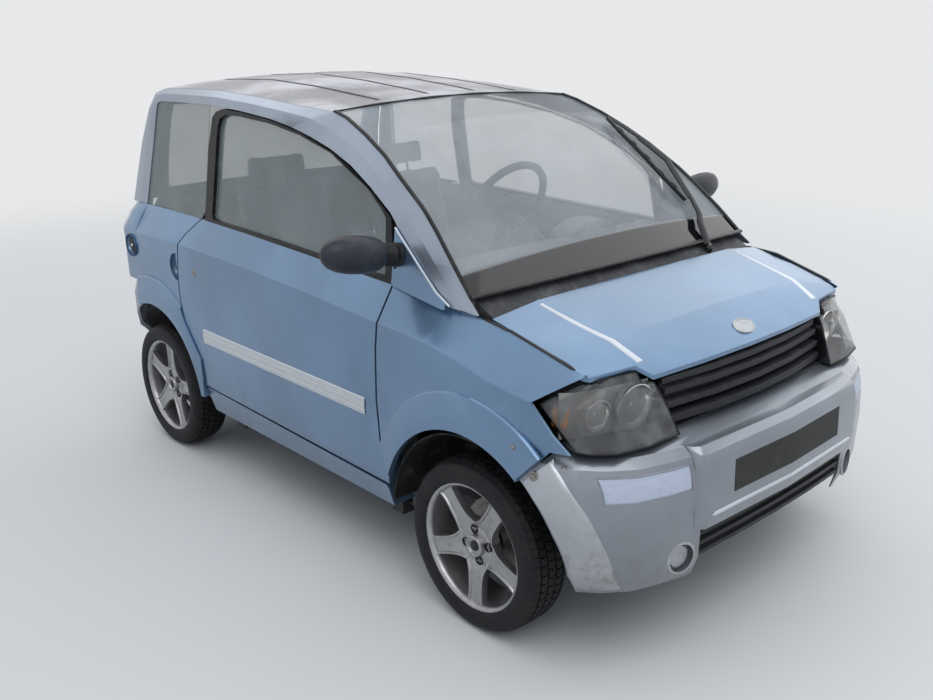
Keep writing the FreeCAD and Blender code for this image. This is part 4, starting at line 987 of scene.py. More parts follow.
@dataclass
class Bodywork:
    """Painted panels with their trims, recesses and blank badge."""

    bead: float = 1.8
    fine_bead: float = 1.0
    bumper_bead: float = 2.4
    body_sharp: float = 26.0
    inset_ends: Pair = (-619.0, -397.0)
    inset_top: float = 568.0
    inset_foot: float = 503.0
    fog_out: float = 420.0
    fog_height: float = 318.0
    fog_radius: float = 42.0
    plate_half: float = 262.0
    plate_heights: Pair = (464.0, 552.0)
    rear_plate_heights: Pair = (452.0, 560.0)
    ledge_half: float = 362.0
    ledge_height: float = 428.0
    handle_back: float = 778.0
    handle_height: float = 775.0
    filler_place: Triple = (-700.0, 1171.0, 800.0)
    strip_ends: Pair = (-368.0, 615.0)
    strip_foot: float = 517.0
    strip_width: float = 54.0
    lock_place: Pair = (645.0, 775.0)
    badge_place: Pair = (16.0, -1160.0)
    gap_places: tuple[Pair, ...] = (
        (-1110.0, 606.0), (-1040.0, 611.0), (-961.0, 616.0), (-875.0, 621.0), (-770.0, 614.0),
    )
    rib_places: tuple[float, ...] = (-308.0, -104.0, 104.0, 308.0)
    rib_ends: Pair = (6.0, 1016.0)
    sill_seal_half: float = 596.0
    sill_seal_height: float = 628.0
    grip_half: float = 85.0
    grip_height: float = 760.0
    pipe_end: Triple = (-360.0, 1318.0, 205.0)

    def build(self) -> None:
        """Make every panel and fitting."""
        self.plain_panels()
        self.bumper()
        self.quarters()
        for side in Side:
            self.door_trims(side)
        self.bonnet_trims()
        self.roof_ribs()
        self.gap_seals()
        self.screws()
        self.rear_end()

    def plain_panels(self) -> None:
        """Softened, painted copies of the panels without recesses."""
        doors = ("door_shell_right", "door_shell_left")
        for node in ("front_fenders", "sills", *doors, "bonnet_panel", "tailgate_shell"):
            dress(node, PALETTE.body, self.bead, self.body_sharp)
        dress("sail_panels", PALETTE.body, self.fine_bead)
        dress("pillar_arches", PALETTE.silver, self.bead)
        dress("rear_bumper", PALETTE.silver, self.bumper_bead)
        dress("roof_panel", PALETTE.roof, self.fine_bead, 40.0)
        dress("cowl_panel", PALETTE.cowl, self.fine_bead)
        dress("grille", PALETTE.trim, 2.0)

    def inset_rows(self, feeler: Feeler, grow: float = 0.0) -> list[Row]:
        """Points of the bumper's pocket on the right-hand side.

        Args:
            feeler: Rays on the bumper.
            grow: How far the outline is widened.

        Returns:
            Rows from the foot to the top.
        """
        rows = []
        for share in spread(0.0, 1.0, 4):
            height = self.inset_foot - grow + share * (self.inset_top - self.inset_foot + 2 * grow)
            outer, inner = self.inset_ends
            outs = spread(outer - grow - 6 * share, inner + grow - 4 * share, 14)
            rows.append(feeler.row(Axis.FRONT, outs, height))
        return rows

    def bumper(self) -> None:
        """The front bumper with film pockets, fog lamp blanks, plate field, arch lips and ledge."""
        feeler = Feeler("front_bumper")
        rows = self.inset_rows(feeler)
        pocket = Mould().sheet(rows, Vector((0, 9, 0)), Vector((0, -6, 0)))
        drill, cups = Mould(), Mould()
        r = self.fog_radius
        cup = [(-2.0, r - 4), (-2.6, r), (-1.4, r + 3), (1, r + 4), (24, r + 2),
               (25, 0), (11, 0), (10, r - 13), (17, r - 9), (17, r - 6)]
        for out in (-self.fog_out, self.fog_out):
            place, way = self.fog_seat(feeler, out)
            drill.lathe([(-40, 0), (-40, r), (40, r), (40, 0)], place, way)
            cups.lathe(cup, place, way, 56)
        dress("front_bumper", PALETTE.scuffed, self.bumper_bead, cuts=[pocket.mirrored(), drill])
        film = Mould().sheet(self.inset_rows(feeler, -1.0), Vector((0, 1.6, 0)), Vector((0, 1.2, 0)))
        film.mirrored().cast("bumper_films", PALETTE.inset)
        edge = rows[0] + [row[-1] for row in rows[1:]] + rows[-1][-2::-1] + [row[0] for row in rows[-2::-1]]
        rim = Mould().tube([p + Vector((0, 0.4, 0)) for p in edge], 2.3, 8)
        rim.mirrored().cast("film_rims", PALETTE.scuffed)
        cups.cast("fog_lamp_blanks", PALETTE.pale_silver, sharp=50)
        field = self.plate_rows(feeler, Axis.FRONT, self.plate_heights)
        plate = Mould().sheet(field, Vector((0, 2.0, 0)), Vector((0, -1.2, 0)))
        plate.cast("plate_field", PALETTE.plate, bevel=0.5)
        self.arch_lips(feeler)
        # The ledge is a bead in pale paint: a painted highlight along the pad's crease.
        outs = spread(-self.ledge_half, self.ledge_half, 30)
        path = feeler.row(Axis.FRONT, outs, self.ledge_height, (0, 6.0, 0))
        Mould().tube(path, [3.0] + [9.0] * 29 + [3.0], 12).cast("bumper_ledge", PALETTE.pale_edge)

    def fog_seat(self, feeler: Feeler, out: float) -> tuple[Vector, Vector]:
        """Where a lamp blank sits and the way it faces, inwards.

        Args:
            feeler: Rays on the bumper.
            out: Its X.

        Returns:
            The place and the direction.
        """
        low, place, high = (feeler.feel(Axis.FRONT, out + step, self.fog_height) for step in (-18, 0, 18))
        run = high - low
        return place, Vector((-run.y, run.x, 0)).normalized()

    def arch_lips(self, feeler: Feeler) -> None:
        """Raised lips round the front arches where they run down the bumper's ends, in pale silver that is a
        painted highlight along the flare.

        Args:
            feeler: Rays on the bumper.
        """
        lift = Vector((-0.8, -0.6, 0))
        rows = []
        for share in spread(0.0, 1.0, 24):
            outer, inner = math.radians(49.5 - 52.5 * share), math.radians(52.5 - 50.0 * share)
            start = Vector((FRONT_AXLE - 347 * math.cos(inner), AXLE_HEIGHT + 347 * math.sin(inner)))
            end = Vector((-815 - 413 * math.cos(outer), 283 + 413 * math.sin(outer)))
            row = []
            for place, rise in ((0.0, 3.5), (0.3, 5.5), (0.6, 6.5), (0.88, 6.5), (0.96, 5.0), (1.0, 0.4)):
                spot = start.lerp(end, place)
                row.append(feeler.feel(Axis.SIDE, spot.x, spot.y) + lift * rise)
            rows.append(row)
        lips = Mould().sheet(rows, -lift * 2.5)
        lips.mirrored().cast("bumper_arch_lips", PALETTE.pale_silver, sharp=40)

    def plate_rows(self, feeler: Feeler, axis: Axis, heights: Pair) -> list[Row]:
        """A grid of points where a number plate would lie, between two heights."""
        outs = spread(-self.plate_half, self.plate_half, 12)
        return [feeler.row(axis, outs, height) for height in spread(*heights, 3)]

    def quarters(self) -> None:
        """Rear quarters with the door handle's half-moon and the filler's bowl."""
        back, height = self.handle_back, self.handle_height
        bend = [math.pi * share for share in spread(-0.5, 0.5, 16)]
        half_moon = [Vector((-760, back + 56 * math.cos(a), height + 52 * math.sin(a))) for a in bend]
        cutter = Mould().prism(half_moon, Vector((90, 0, 0)))
        dress("rear_quarters", PALETTE.body, self.bead, self.body_sharp, cuts=[cutter.mirrored()])
        rings = []
        for depth, share in ((0.4, 1.03), (12, 1.02), (25, 0.9), (29, 0.5)):
            rings.append([
                Vector((-701 + depth, back + (p.y - back) * share, height + (p.z - height) * share))
                for p in half_moon
            ])
        dish = Mould().skin(rings, ring=True)
        dish.skin([[p + Vector((2, 0, 0)) for p in ring] for ring in rings], ring=True)
        dish.mesh.faces.new([dish.mesh.verts.new(p) for p in rings[-1]])
        dish.mirrored().cast("handle_dishes", PALETTE.body)
        knob = [(-2, 0), (-2, 11), (5, 11), (7, 9), (7, 0)]
        button = Mould().lathe(knob, Vector((-691, 786, 770)), -X_AXIS, 28)
        button.mirrored().cast("handle_buttons", PALETTE.trim)
        bowl = [(-1.5, 43.6), (4, 43.6), (12, 41), (24, 34), (26, 20),
                (26, 0), (29, 0), (29, 36), (14, 44), (4, 45.5)]
        cap = [(0, 0), (0, 7), (1, 8), (3, 27), (6, 31), (22, 31), (22, 0)]
        plug = [(-1, 0), (-1, 6), (1, 7), (3, 7), (3, 0)]
        for name, profile, depth, steps, finish in (
            ("filler_bowl", bowl, 0.0, 48, PALETTE.body), ("filler_cap", cap, 4.0, 40, PALETTE.trim),
            ("filler_key_plug", plug, 3.5, 20, PALETTE.chrome),
        ):
            place = Vector(self.filler_place) + Vector((depth, 0, 0))
            Mould().lathe(profile, place, X_AXIS, steps).cast(name, finish, "body")

    def door_trims(self, side: Side) -> None:
        """A ribbed strip and a key lock on a door.

        Args:
            side: The door's side.
        """
        name = side.name.lower()
        body = "door_" + name
        outwards = X_AXIS * side.value
        feeler = Feeler("door_shell_" + name)
        # Shares of the strip's width, and how far it stands out there.
        ribs = ((0.0, 0.0), (0.04, 2.6), (0.28, 3.4), (0.32, 1.6), (0.36, 3.4),
                (0.64, 3.6), (0.68, 1.6), (0.72, 3.4), (0.96, 2.6), (1.0, 0.0))
        rows = []
        for back in spread(*self.strip_ends, 40):
            row = []
            for share, lift in ribs:
                spot = feeler.feel(Axis.SIDE, back, self.strip_foot + self.strip_width * share, side)
                row.append(spot + outwards * (lift + 0.1))
            rows.append(row)
        Mould().sheet(rows, outwards * -1.5).cast("door_strip_" + name, PALETTE.strip, body, sharp=25)
        seat = feeler.feel(Axis.SIDE, *self.lock_place, side)
        collar = [(-3, 13), (0.5, 13), (2.6, 11), (2.6, 8), (1.0, 7), (1.0, 0)]
        lock = Mould().lathe(collar, seat, outwards, 32)
        lock.cast("door_lock_" + name, PALETTE.bezel, body)
        corners = [seat + Vector((side.value * 0.6, y, z)) for y, z in ((-5, -1), (5, -1), (5, 1), (-5, 1))]
        Mould().prism(corners, outwards * 0.9).cast("door_lock_slot_" + name, PALETTE.seal, body)

    def bonnet_trims(self) -> None:
        """Strips in pale paint on the bonnet's bevels, which are a painted highlight, and the blank oval
        badge.
        """
        feeler = Feeler("bonnet_panel")
        rows = []
        for share in spread(0.0, 1.0, 44):
            back, out = -838 - 308 * share, -452 + 33 * share - 8 * math.sin(math.pi * share)
            half = 6.0 + 6.0 * share
            rows.append([
                feeler.feel(Axis.TOP, out + half * k, back) + Vector((0, 0, 1.4 if abs(k) < 1 else 0.3))
                for k in (-1, -0.8, 0, 0.8, 1)
            ])
        # A thin sheet in pale paint over each bevel: a painted highlight.
        bevel = Mould().sheet(rows, Vector((0, 0, -4)))
        bevel.mirrored().cast("bonnet_bevels", PALETTE.pale_edge, "bonnet", sharp=50)
        out, back = self.badge_place
        seat = feeler.feel(Axis.TOP, out, back)
        ahead = (feeler.feel(Axis.TOP, out, back - 15) - feeler.feel(Axis.TOP, out, back + 15)).normalized()
        high = X_AXIS.cross(ahead)
        high = -high if high.z < 0 else high
        rings = []
        # Half the oval's width and length, and its height on the bonnet.
        for wide, deep, rise in (
            (44, 27, -3), (44, 27, 1.4), (42, 25, 2.6), (40, 23, 2.6), (38.5, 21.5, 1.2), (12, 7, 1.5),
        ):
            rings.append([
                seat + Vector((wide * math.cos(a), 0, 0)) + ahead * (deep * math.sin(a)) + high * rise
                for a in round_angles(40)
            ])
        Mould().skin(rings, ring=True, ends=True).cast("blank_badge", PALETTE.badge, "bonnet", sharp=40)

    def roof_ribs(self) -> None:
        """Four long ribs on the roof."""
        feeler = Feeler("roof_panel")
        ribs = Mould()
        for out in self.rib_places:
            backs = spread(*self.rib_ends, 40)
            path = [feeler.feel(Axis.TOP, out, back) - Vector((0, 0, 2.2)) for back in backs]
            ribs.tube(path, [3.0] + [9.0] * 39 + [4.0], 10, 0.5)
        ribs.cast("roof_ribs", PALETTE.seal)

    def gap_seals(self) -> None:
        """Dark strips on the wings beside the bonnet: painted shade that widens the gap, not real seals."""
        feeler = Feeler("front_fenders")
        spots = [feeler.feel(Axis.TOP, -self.gap_out(back), back) for back in range(-1098, -776, 12)]
        radii = [3.0] + [6.0] * (len(spots) - 2) + [3.0]
        # The strip is painted shade in the gap between bonnet and wing.
        seals = Mould().tube([p + Vector((0, 0, 0.6)) for p in spots], radii, 8, 0.4)
        seals.mirrored().cast("bonnet_gap_seals", PALETTE.seal)

    def gap_out(self, back: float) -> float:
        """How far out the painted shade strip lies at a place along the car.

        Args:
            back: The place's Y.

        Returns:
            The distance from the middle.
        """
        for (first, low), (second, high) in zip(self.gap_places, self.gap_places[1:]):
            if back <= second:
                return low + (high - low) * (back - first) / (second - first)
        return self.gap_places[-1][1]

    def screws(self) -> None:
        """Screws on the arch flare, and screws, washers and plugs on the bumper's ends."""
        head = [(-2, 0), (-2, 7), (1.2, 7), (1.2, 5.4), (3.2, 4.6), (4.2, 2.4), (3.4, 0)]
        plug = [(-3, 0), (-3, 8), (0.6, 8), (1.2, 6.6), (0.2, 5.4), (-1.5, 4.6), (-1.5, 0)]
        pattern = Mould().lathe(head, Vector(), Z_AXIS, 16)
        feeler = Feeler("front_fenders", "front_bumper")
        marks = []
        plugs = Mould()
        for side in Side:
            for back, height, proud in ((-993, 614, 0), (-1050, 551, 6)):
                lift = X_AXIS * (side.value * proud)
                spot = feeler.feel(Axis.SIDE, back, height, side) + lift
                near = feeler.feel(Axis.SIDE, back - 8, height, side) + lift
                way = Vector((side.value, (near.x - spot.x) * side.value / 8, 0.1)).normalized()
                marks.append((spot, way))
            ahead, spot, behind = (feeler.feel(Axis.SIDE, back, 584, side) for back in (-1126, -1120, -1114))
            way = Vector((side.value * 12, side.value * (ahead.x - behind.x), 0)).normalized()
            plugs.lathe(plug, spot, way, 24)
        MARKS.make("body_screws", pattern, PALETTE.disc, "body", marks)
        washers = Mould()
        for spot, way in marks[1::2]:
            washers.lathe([(-1, 8), (-1, 13), (1.0, 13), (1.6, 11), (1.0, 8)], spot, way, 28, loop=True)
        washers.cast("bumper_washers", PALETTE.disc)
        plugs.cast("bumper_plugs", PALETTE.steel)

    def rear_end(self) -> None:
        """The plate field, the seal under the tailgate, its grip, and the tail pipe."""
        feeler = Feeler("tailgate_shell", "rear_bumper")
        field = self.plate_rows(feeler, Axis.REAR, self.rear_plate_heights)
        plate = Mould().sheet(field, Vector((0, -2, 0)), Vector((0, 1.0, 0)))
        plate.cast("rear_plate_field", PALETTE.plate, bevel=0.5)
        outs = spread(-self.sill_seal_half, self.sill_seal_half, 24)
        foot = feeler.row(Axis.REAR, outs, self.sill_seal_height, (0, -13, 0))
        rows = [[p + Vector((0, 0, rise)) for p in foot] for rise in (0, 18, 35.5)]
        lip = Mould().sheet(rows, Vector((0, 5, 0)))
        lip.cast("tailgate_sill_seal", PALETTE.seal, bevel=1.0)
        seat = feeler.feel(Axis.REAR, 0, self.grip_height)
        arc = []
        for share in spread(0.0, 1.0, 16):
            back = seat.y - 6 + 3 * math.sin(math.pi * share)
            arc.append(Vector((self.grip_half * (2 * share - 1), back, self.grip_height)))
        Mould().tube(arc, 8.0, 10, 0.9).cast("tailgate_grip", PALETTE.trim, "tailgate")
        wall = [(-190, 17), (0, 17), (2, 18), (2, 20), (0, 21), (-190, 21)]
        pipe = Mould().lathe(wall, Vector(self.pipe_end), Y_AXIS, 32, loop=True)
        pipe.cast("tail_pipe", PALETTE.steel)


@dataclass
class Glazing:
    """Windows, their frames, seals and mouldings."""

    screen_edge: tuple[Triple, ...] = (
        (621, -745, 925), (610, -664, 1000), (592, -577, 1075), (580, -512, 1125), (565, -392, 1200),
        (547, -305, 1250), (532, -199, 1300), (518, -90, 1342), (514, -23, 1359),
    )
    foot_bow: Pair = (42.0, 12.0)
    top_bow: Pair = (22.0, 26.0)
    sail_edge: tuple[Pair, ...] = ((-690, 900), (-633, 926), (-549, 987), (-452, 1060), (-438, 1072))

    def build(self) -> None:
        """Make every pane, frame and moulding."""
        for side in ("right", "left"):
            dress("door_frame_" + side, PALETTE.frame, 1.0)
            dress("door_glass_" + side, PALETTE.tinted, 0.4)
        dress("quarter_glass", PALETTE.tinted, 0.4)
        dress("tailgate_glass", PALETTE.tinted, 0.4)
        dress("windscreen", PALETTE.screen, 0.4)
        self.mouldings()
        self.sail_strips()

    def bowed(self, end: Triple, bow: Pair, lift: Triple) -> Row:
        """Points from side to side along a bowed edge.

        Args:
            end: The edge's left end.
            bow: How far the middle stands ahead and above.
            lift: How far the points stand off the edge.

        Returns:
            The points.
        """
        out, back, height = end
        row = []
        for share in spread(-1, 1, 24):
            swell = 1 - share * share
            row.append(Vector((share * out, back - bow[0] * swell, height + bow[1] * swell)) + Vector(lift))
        return row

    def mouldings(self) -> None:
        """Black mouldings round the windscreen."""
        sides = Mould().tube([Vector((-x + 3, y - 2, z + 3)) for x, y, z in self.screen_edge], 7.0, 8, 0.6)
        sides.mirrored().cast("screen_side_mouldings", PALETTE.seal)
        foot = Mould().tube(self.bowed(self.screen_edge[0], self.foot_bow, (0, -3, 2)), 10.0, 10, 0.7)
        foot.cast("screen_foot_moulding", PALETTE.frame)
        path = self.bowed(self.screen_edge[-1], self.top_bow, (0, 2, 1.5))
        top = Mould().tube(path, [6.0 + 1.6 * math.sin(5.0 * k) for k in range(len(path))], 8, 0.5)
        top.cast("screen_top_seal", PALETTE.seal)

    def sail_strips(self) -> None:
        """A fold along the sail panels' front edge in pale paint, which is a painted highlight, and a plug in
        each panel.
        """
        path = [Vector((-(630 - 0.155 * (z - 955)) - 6.5, y, z)) for y, z in self.sail_edge]
        fold = Mould().tube(path, 3.4, 8)
        fold.mirrored().cast("sail_folds", PALETTE.pale_edge)
        plug = [(-1, 0), (-1, 5), (1, 5), (1.5, 3), (0.5, 0)]
        plugs = Mould().lathe(plug, Vector((-637, -452, 966)), Vector((-1, 0, 0.15)), 20)
        plugs.mirrored().cast("sail_plugs", PALETTE.seal)


@dataclass
class Lamps:
    """Headlamps with bowls behind a hazed lens, and rear lamps."""

    bowls: tuple[tuple[Triple, float], ...] = (((-462, -1168, 702), 58.0), ((-566, -1136, 696), 40.0))
    aim: Triple = (0.12, 1, 0.1)
    wall: float = 3.0
    bar_shares: Pair = (0.34, 0.67)

    def build(self) -> None:
        """Make the lamps."""
        self.shell("headlamp_lenses", PALETTE.lens, True)
        self.shell("headlamp_housings", PALETTE.seal, False)
        self.inside()
        dress("rear_lamps", PALETTE.red, 2.0)
        self.rear_bars()

    def shell(self, name: str, finish: Finish, front: bool) -> None:
        """A lens of the solid's front, or a housing of the rest of it.

        Args:
            name: The piece's name.
            finish: Its finish.
            front: Whether it is the lens.
        """
        work = merged("headlamps")
        doomed = []
        for face in work.faces:
            out = face.normal.x * (1 if face.calc_center_median().x > 0 else -1)
            shows = face.normal.y < 0.3 and out > -0.75 and face.normal.z > -0.6
            if shows != front:
                doomed.append(face)
        bmesh.ops.delete(work, geom=doomed, context="FACES")
        stands_for = ["headlamps"] if front else ()
        piece = set_up(flattened(work, name), name, finish, "body", sharp=50, stands_for=stands_for)
        wall = piece.modifiers.new("wall", "SOLIDIFY")
        wall.thickness = self.wall * MM
        wall.offset = -1.0

    def inside(self) -> None:
        """Reflector bowls, the bezel between them, bulbs and the amber lamp."""
        bowls, bulbs = Mould(), Mould()
        way = Vector(self.aim).normalized()
        for spot, r in self.bowls:
            place = Vector(spot)
            profile = [(-3, r + 3), (-3, r), (0, r), (r * 0.25, r * 0.92), (r * 0.55, r * 0.72),
                       (r * 0.78, r * 0.42), (r * 0.86, 9), (r * 0.9, 11), (r * 0.6, r * 0.8), (0, r + 3)]
            bowls.lathe(profile, place, way, 48, loop=True)
            bulbs.lathe([(r * 0.25, 0), (r * 0.28, 6), (r * 0.86, 8), (r * 0.9, 0)], place, way, 24)
        steps = [(-640, -1090), (-616, -1112), (-524, -1146), (-404, -1172)]
        section = [(x, y + 12) for x, y in steps] + [(x, y + 15) for x, y in reversed(steps)]
        rows = [[Vector((x, y, z)) for x, y in section] for z in (640, 648, 752, 760)]
        bezel = Mould().skin(rows, ring=True, ends=True)
        corners = [(-632, -1098, 668), (-646, -1060, 672), (-646, -1060, 716), (-620, -1098, 724)]
        amber = Mould().prism([Vector(corner) for corner in corners], Vector((10, 14, 0)))
        bowls.mirrored().cast("headlamp_bowls", PALETTE.chrome, sharp=50)
        bulbs.mirrored().cast("headlamp_bulbs", PALETTE.inset)
        bezel.mirrored().cast("headlamp_bezels", PALETTE.bezel)
        amber.mirrored().cast("headlamp_ambers", PALETTE.amber, bevel=2.0)

    def rear_bars(self) -> None:
        """Dark bars that divide the rear lamps."""
        low, high = (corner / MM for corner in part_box("rear_lamps"))
        feeler = Feeler("rear_lamps")
        bars = Mould()
        for share in self.bar_shares:
            height = low.z + (high.z - low.z) * share
            path = feeler.row(Axis.REAR, [low.x + 4 + (-low.x - 520) * k / 8 for k in range(9)], height)
            bars.tube([p for p in path if p.y > 1150], 3.0, 8)
        bars.mirrored().cast("rear_lamp_bars", PALETTE.seal)


@dataclass
class Mirrors:
    """Door mirrors on ribbed boots."""

    root: Triple = (-631.0, -462.0, 1002.0)
    way: Triple = (-0.988, 0.0, 0.153)
    up: Triple = (0.153, 0.0, 0.988)
    reach: float = 255.4
    flat_at: float = 34.0

    def build(self) -> None:
        """Make boots, housings and glasses."""
        root, way = Vector(self.root), Vector(self.way).normalized()
        ahead, up = -Y_AXIS, Vector(self.up)
        profile = [(0, 0), (0, 33), (5, 34), (8, 30)]
        for i in range(5):
            place, crest = 11 + 9.5 * i, 33 - 0.3 * i
            profile += [(place, 27.5), (place + 3, crest), (place + 6, crest), (place + 9, 27.5)]
        boot = Mould().lathe(profile + [(62, 27), (62, 0)], root, way, 44)
        boot.mirrored().cast("mirror_boots", PALETTE.seal, stands_for=["mirrors"], sharp=60)
        # Distance from the root, radius, and how deep the section is as a share of its height.
        shape = ((56, 30, 0.95), (62, 36, 0.95), (76, 44, 0.95), (100, 50, 0.95), (140, 52.5, 0.94),
                 (176, 51, 0.92), (208, 46, 0.88), (232, 37, 0.84), (248, 24, 0.8), (self.reach, 9, 0.8))
        rings = []
        for along, radius, depth in shape:
            ring, middle = [], root + way * along
            for angle in round_angles(40):
                forward = max(math.cos(angle) * radius * depth, -self.flat_at + 2.0)
                ring.append(middle + ahead * forward + up * (math.sin(angle) * radius))
            rings.append(ring)
        housing = Mould().skin(rings, ring=True, ends=True)
        housing.mirrored().cast("mirror_housings", PALETTE.mirror, sharp=50, bevel=2.0)
        heights = (24.0, 33.0, 36.0, 33.0, 23.0)
        middles = [root + way * along for along, _, _ in shape[2:7]]
        top = [middle + up * height for middle, height in zip(middles, heights)]
        foot = [middle - up * height for middle, height in zip(middles, heights)]
        glass = Mould().prism([p - ahead * (self.flat_at - 4) for p in top + foot[::-1]], -ahead * 2.6)
        glass.mirrored().cast("mirror_glasses", PALETTE.looking_glass)


@dataclass
class Wiper:
    """The single wiper: spindle, arm, bridges and blade."""

    arm: tuple[Triple, ...] = (
        (375, -789, 922), (396, -740, 988), (425, -716, 1008), (450, -660, 1054), (516, -513, 1157),
        (510, -459, 1191), (496, -405, 1226), (482, -345, 1260), (466, -283, 1293),
    )
    arm_radii: tuple[float, ...] = (18, 16, 14, 12, 11, 10, 9.5, 8.5, 6)
    blade: tuple[Triple, ...] = (
        (412, -670, 1050), (397, -623, 1093), (391, -575, 1131), (399, -509, 1175), (411, -442, 1215),
        (426, -371, 1253), (464, -283, 1292),
    )
    blade_radii: tuple[float, ...] = (5, 8, 9, 9, 9, 8, 5)
    spindle: Triple = (0, -0.35, 0.94)
    spindle_place: Triple = (375, -793, 914)
    nut_place: Triple = (375, -794.6, 920)
    off_glass: Triple = (0.2, -0.75, 0.63)

    def build(self) -> None:
        """Make the wiper."""
        up, spindle = Vector(self.off_glass).normalized(), Vector(self.spindle)
        points = [Vector(p) for p in self.arm]
        arm = Mould().tube(points, self.arm_radii, 12, 0.5, up)
        arm.tube([p + Vector((-20, -6, 0)) for p in points[3:7]], [4, 6, 6, 4], 10, 0.8, up)
        arm.lathe([(-16, 13), (3, 13), (6, 10), (6, 0), (-16, 0)], Vector(self.spindle_place), spindle, 28)
        arm.cast("wiper_arm", PALETTE.trim, stands_for=["wiper"])
        nut = Mould().lathe([(0, 0), (0, 8), (7, 7), (9, 0)], Vector(self.nut_place), spindle, 6)
        nut.cast("wiper_nut", PALETTE.steel)
        path = [Vector(p) for p in self.blade]
        Mould().tube(path, self.blade_radii, 10, 0.8, up).cast("wiper_spine", PALETTE.seal)
        section = ((2, 0), (2, 1.6), (9, 0.6), (9, 0))
        rows = [[p - up * drop + Vector((wide, 0, 0)) for drop, wide in section] for p in path]
        Mould().skin(rows, ring=True, ends=True).cast("wiper_rubber", PALETTE.seal)
        profile = [(-16, 0), (-16, 5), (-10, 8.5), (10, 8.5), (16, 5), (16, 0)]
        claw = Mould().lathe(profile, Vector(), Z_AXIS, 12)
        marks = [(path[k] + up * 2, path[k + 1] - path[k]) for k in range(1, 6)]
        MARKS.make("wiper_claws", claw, PALETTE.trim, "body", marks)


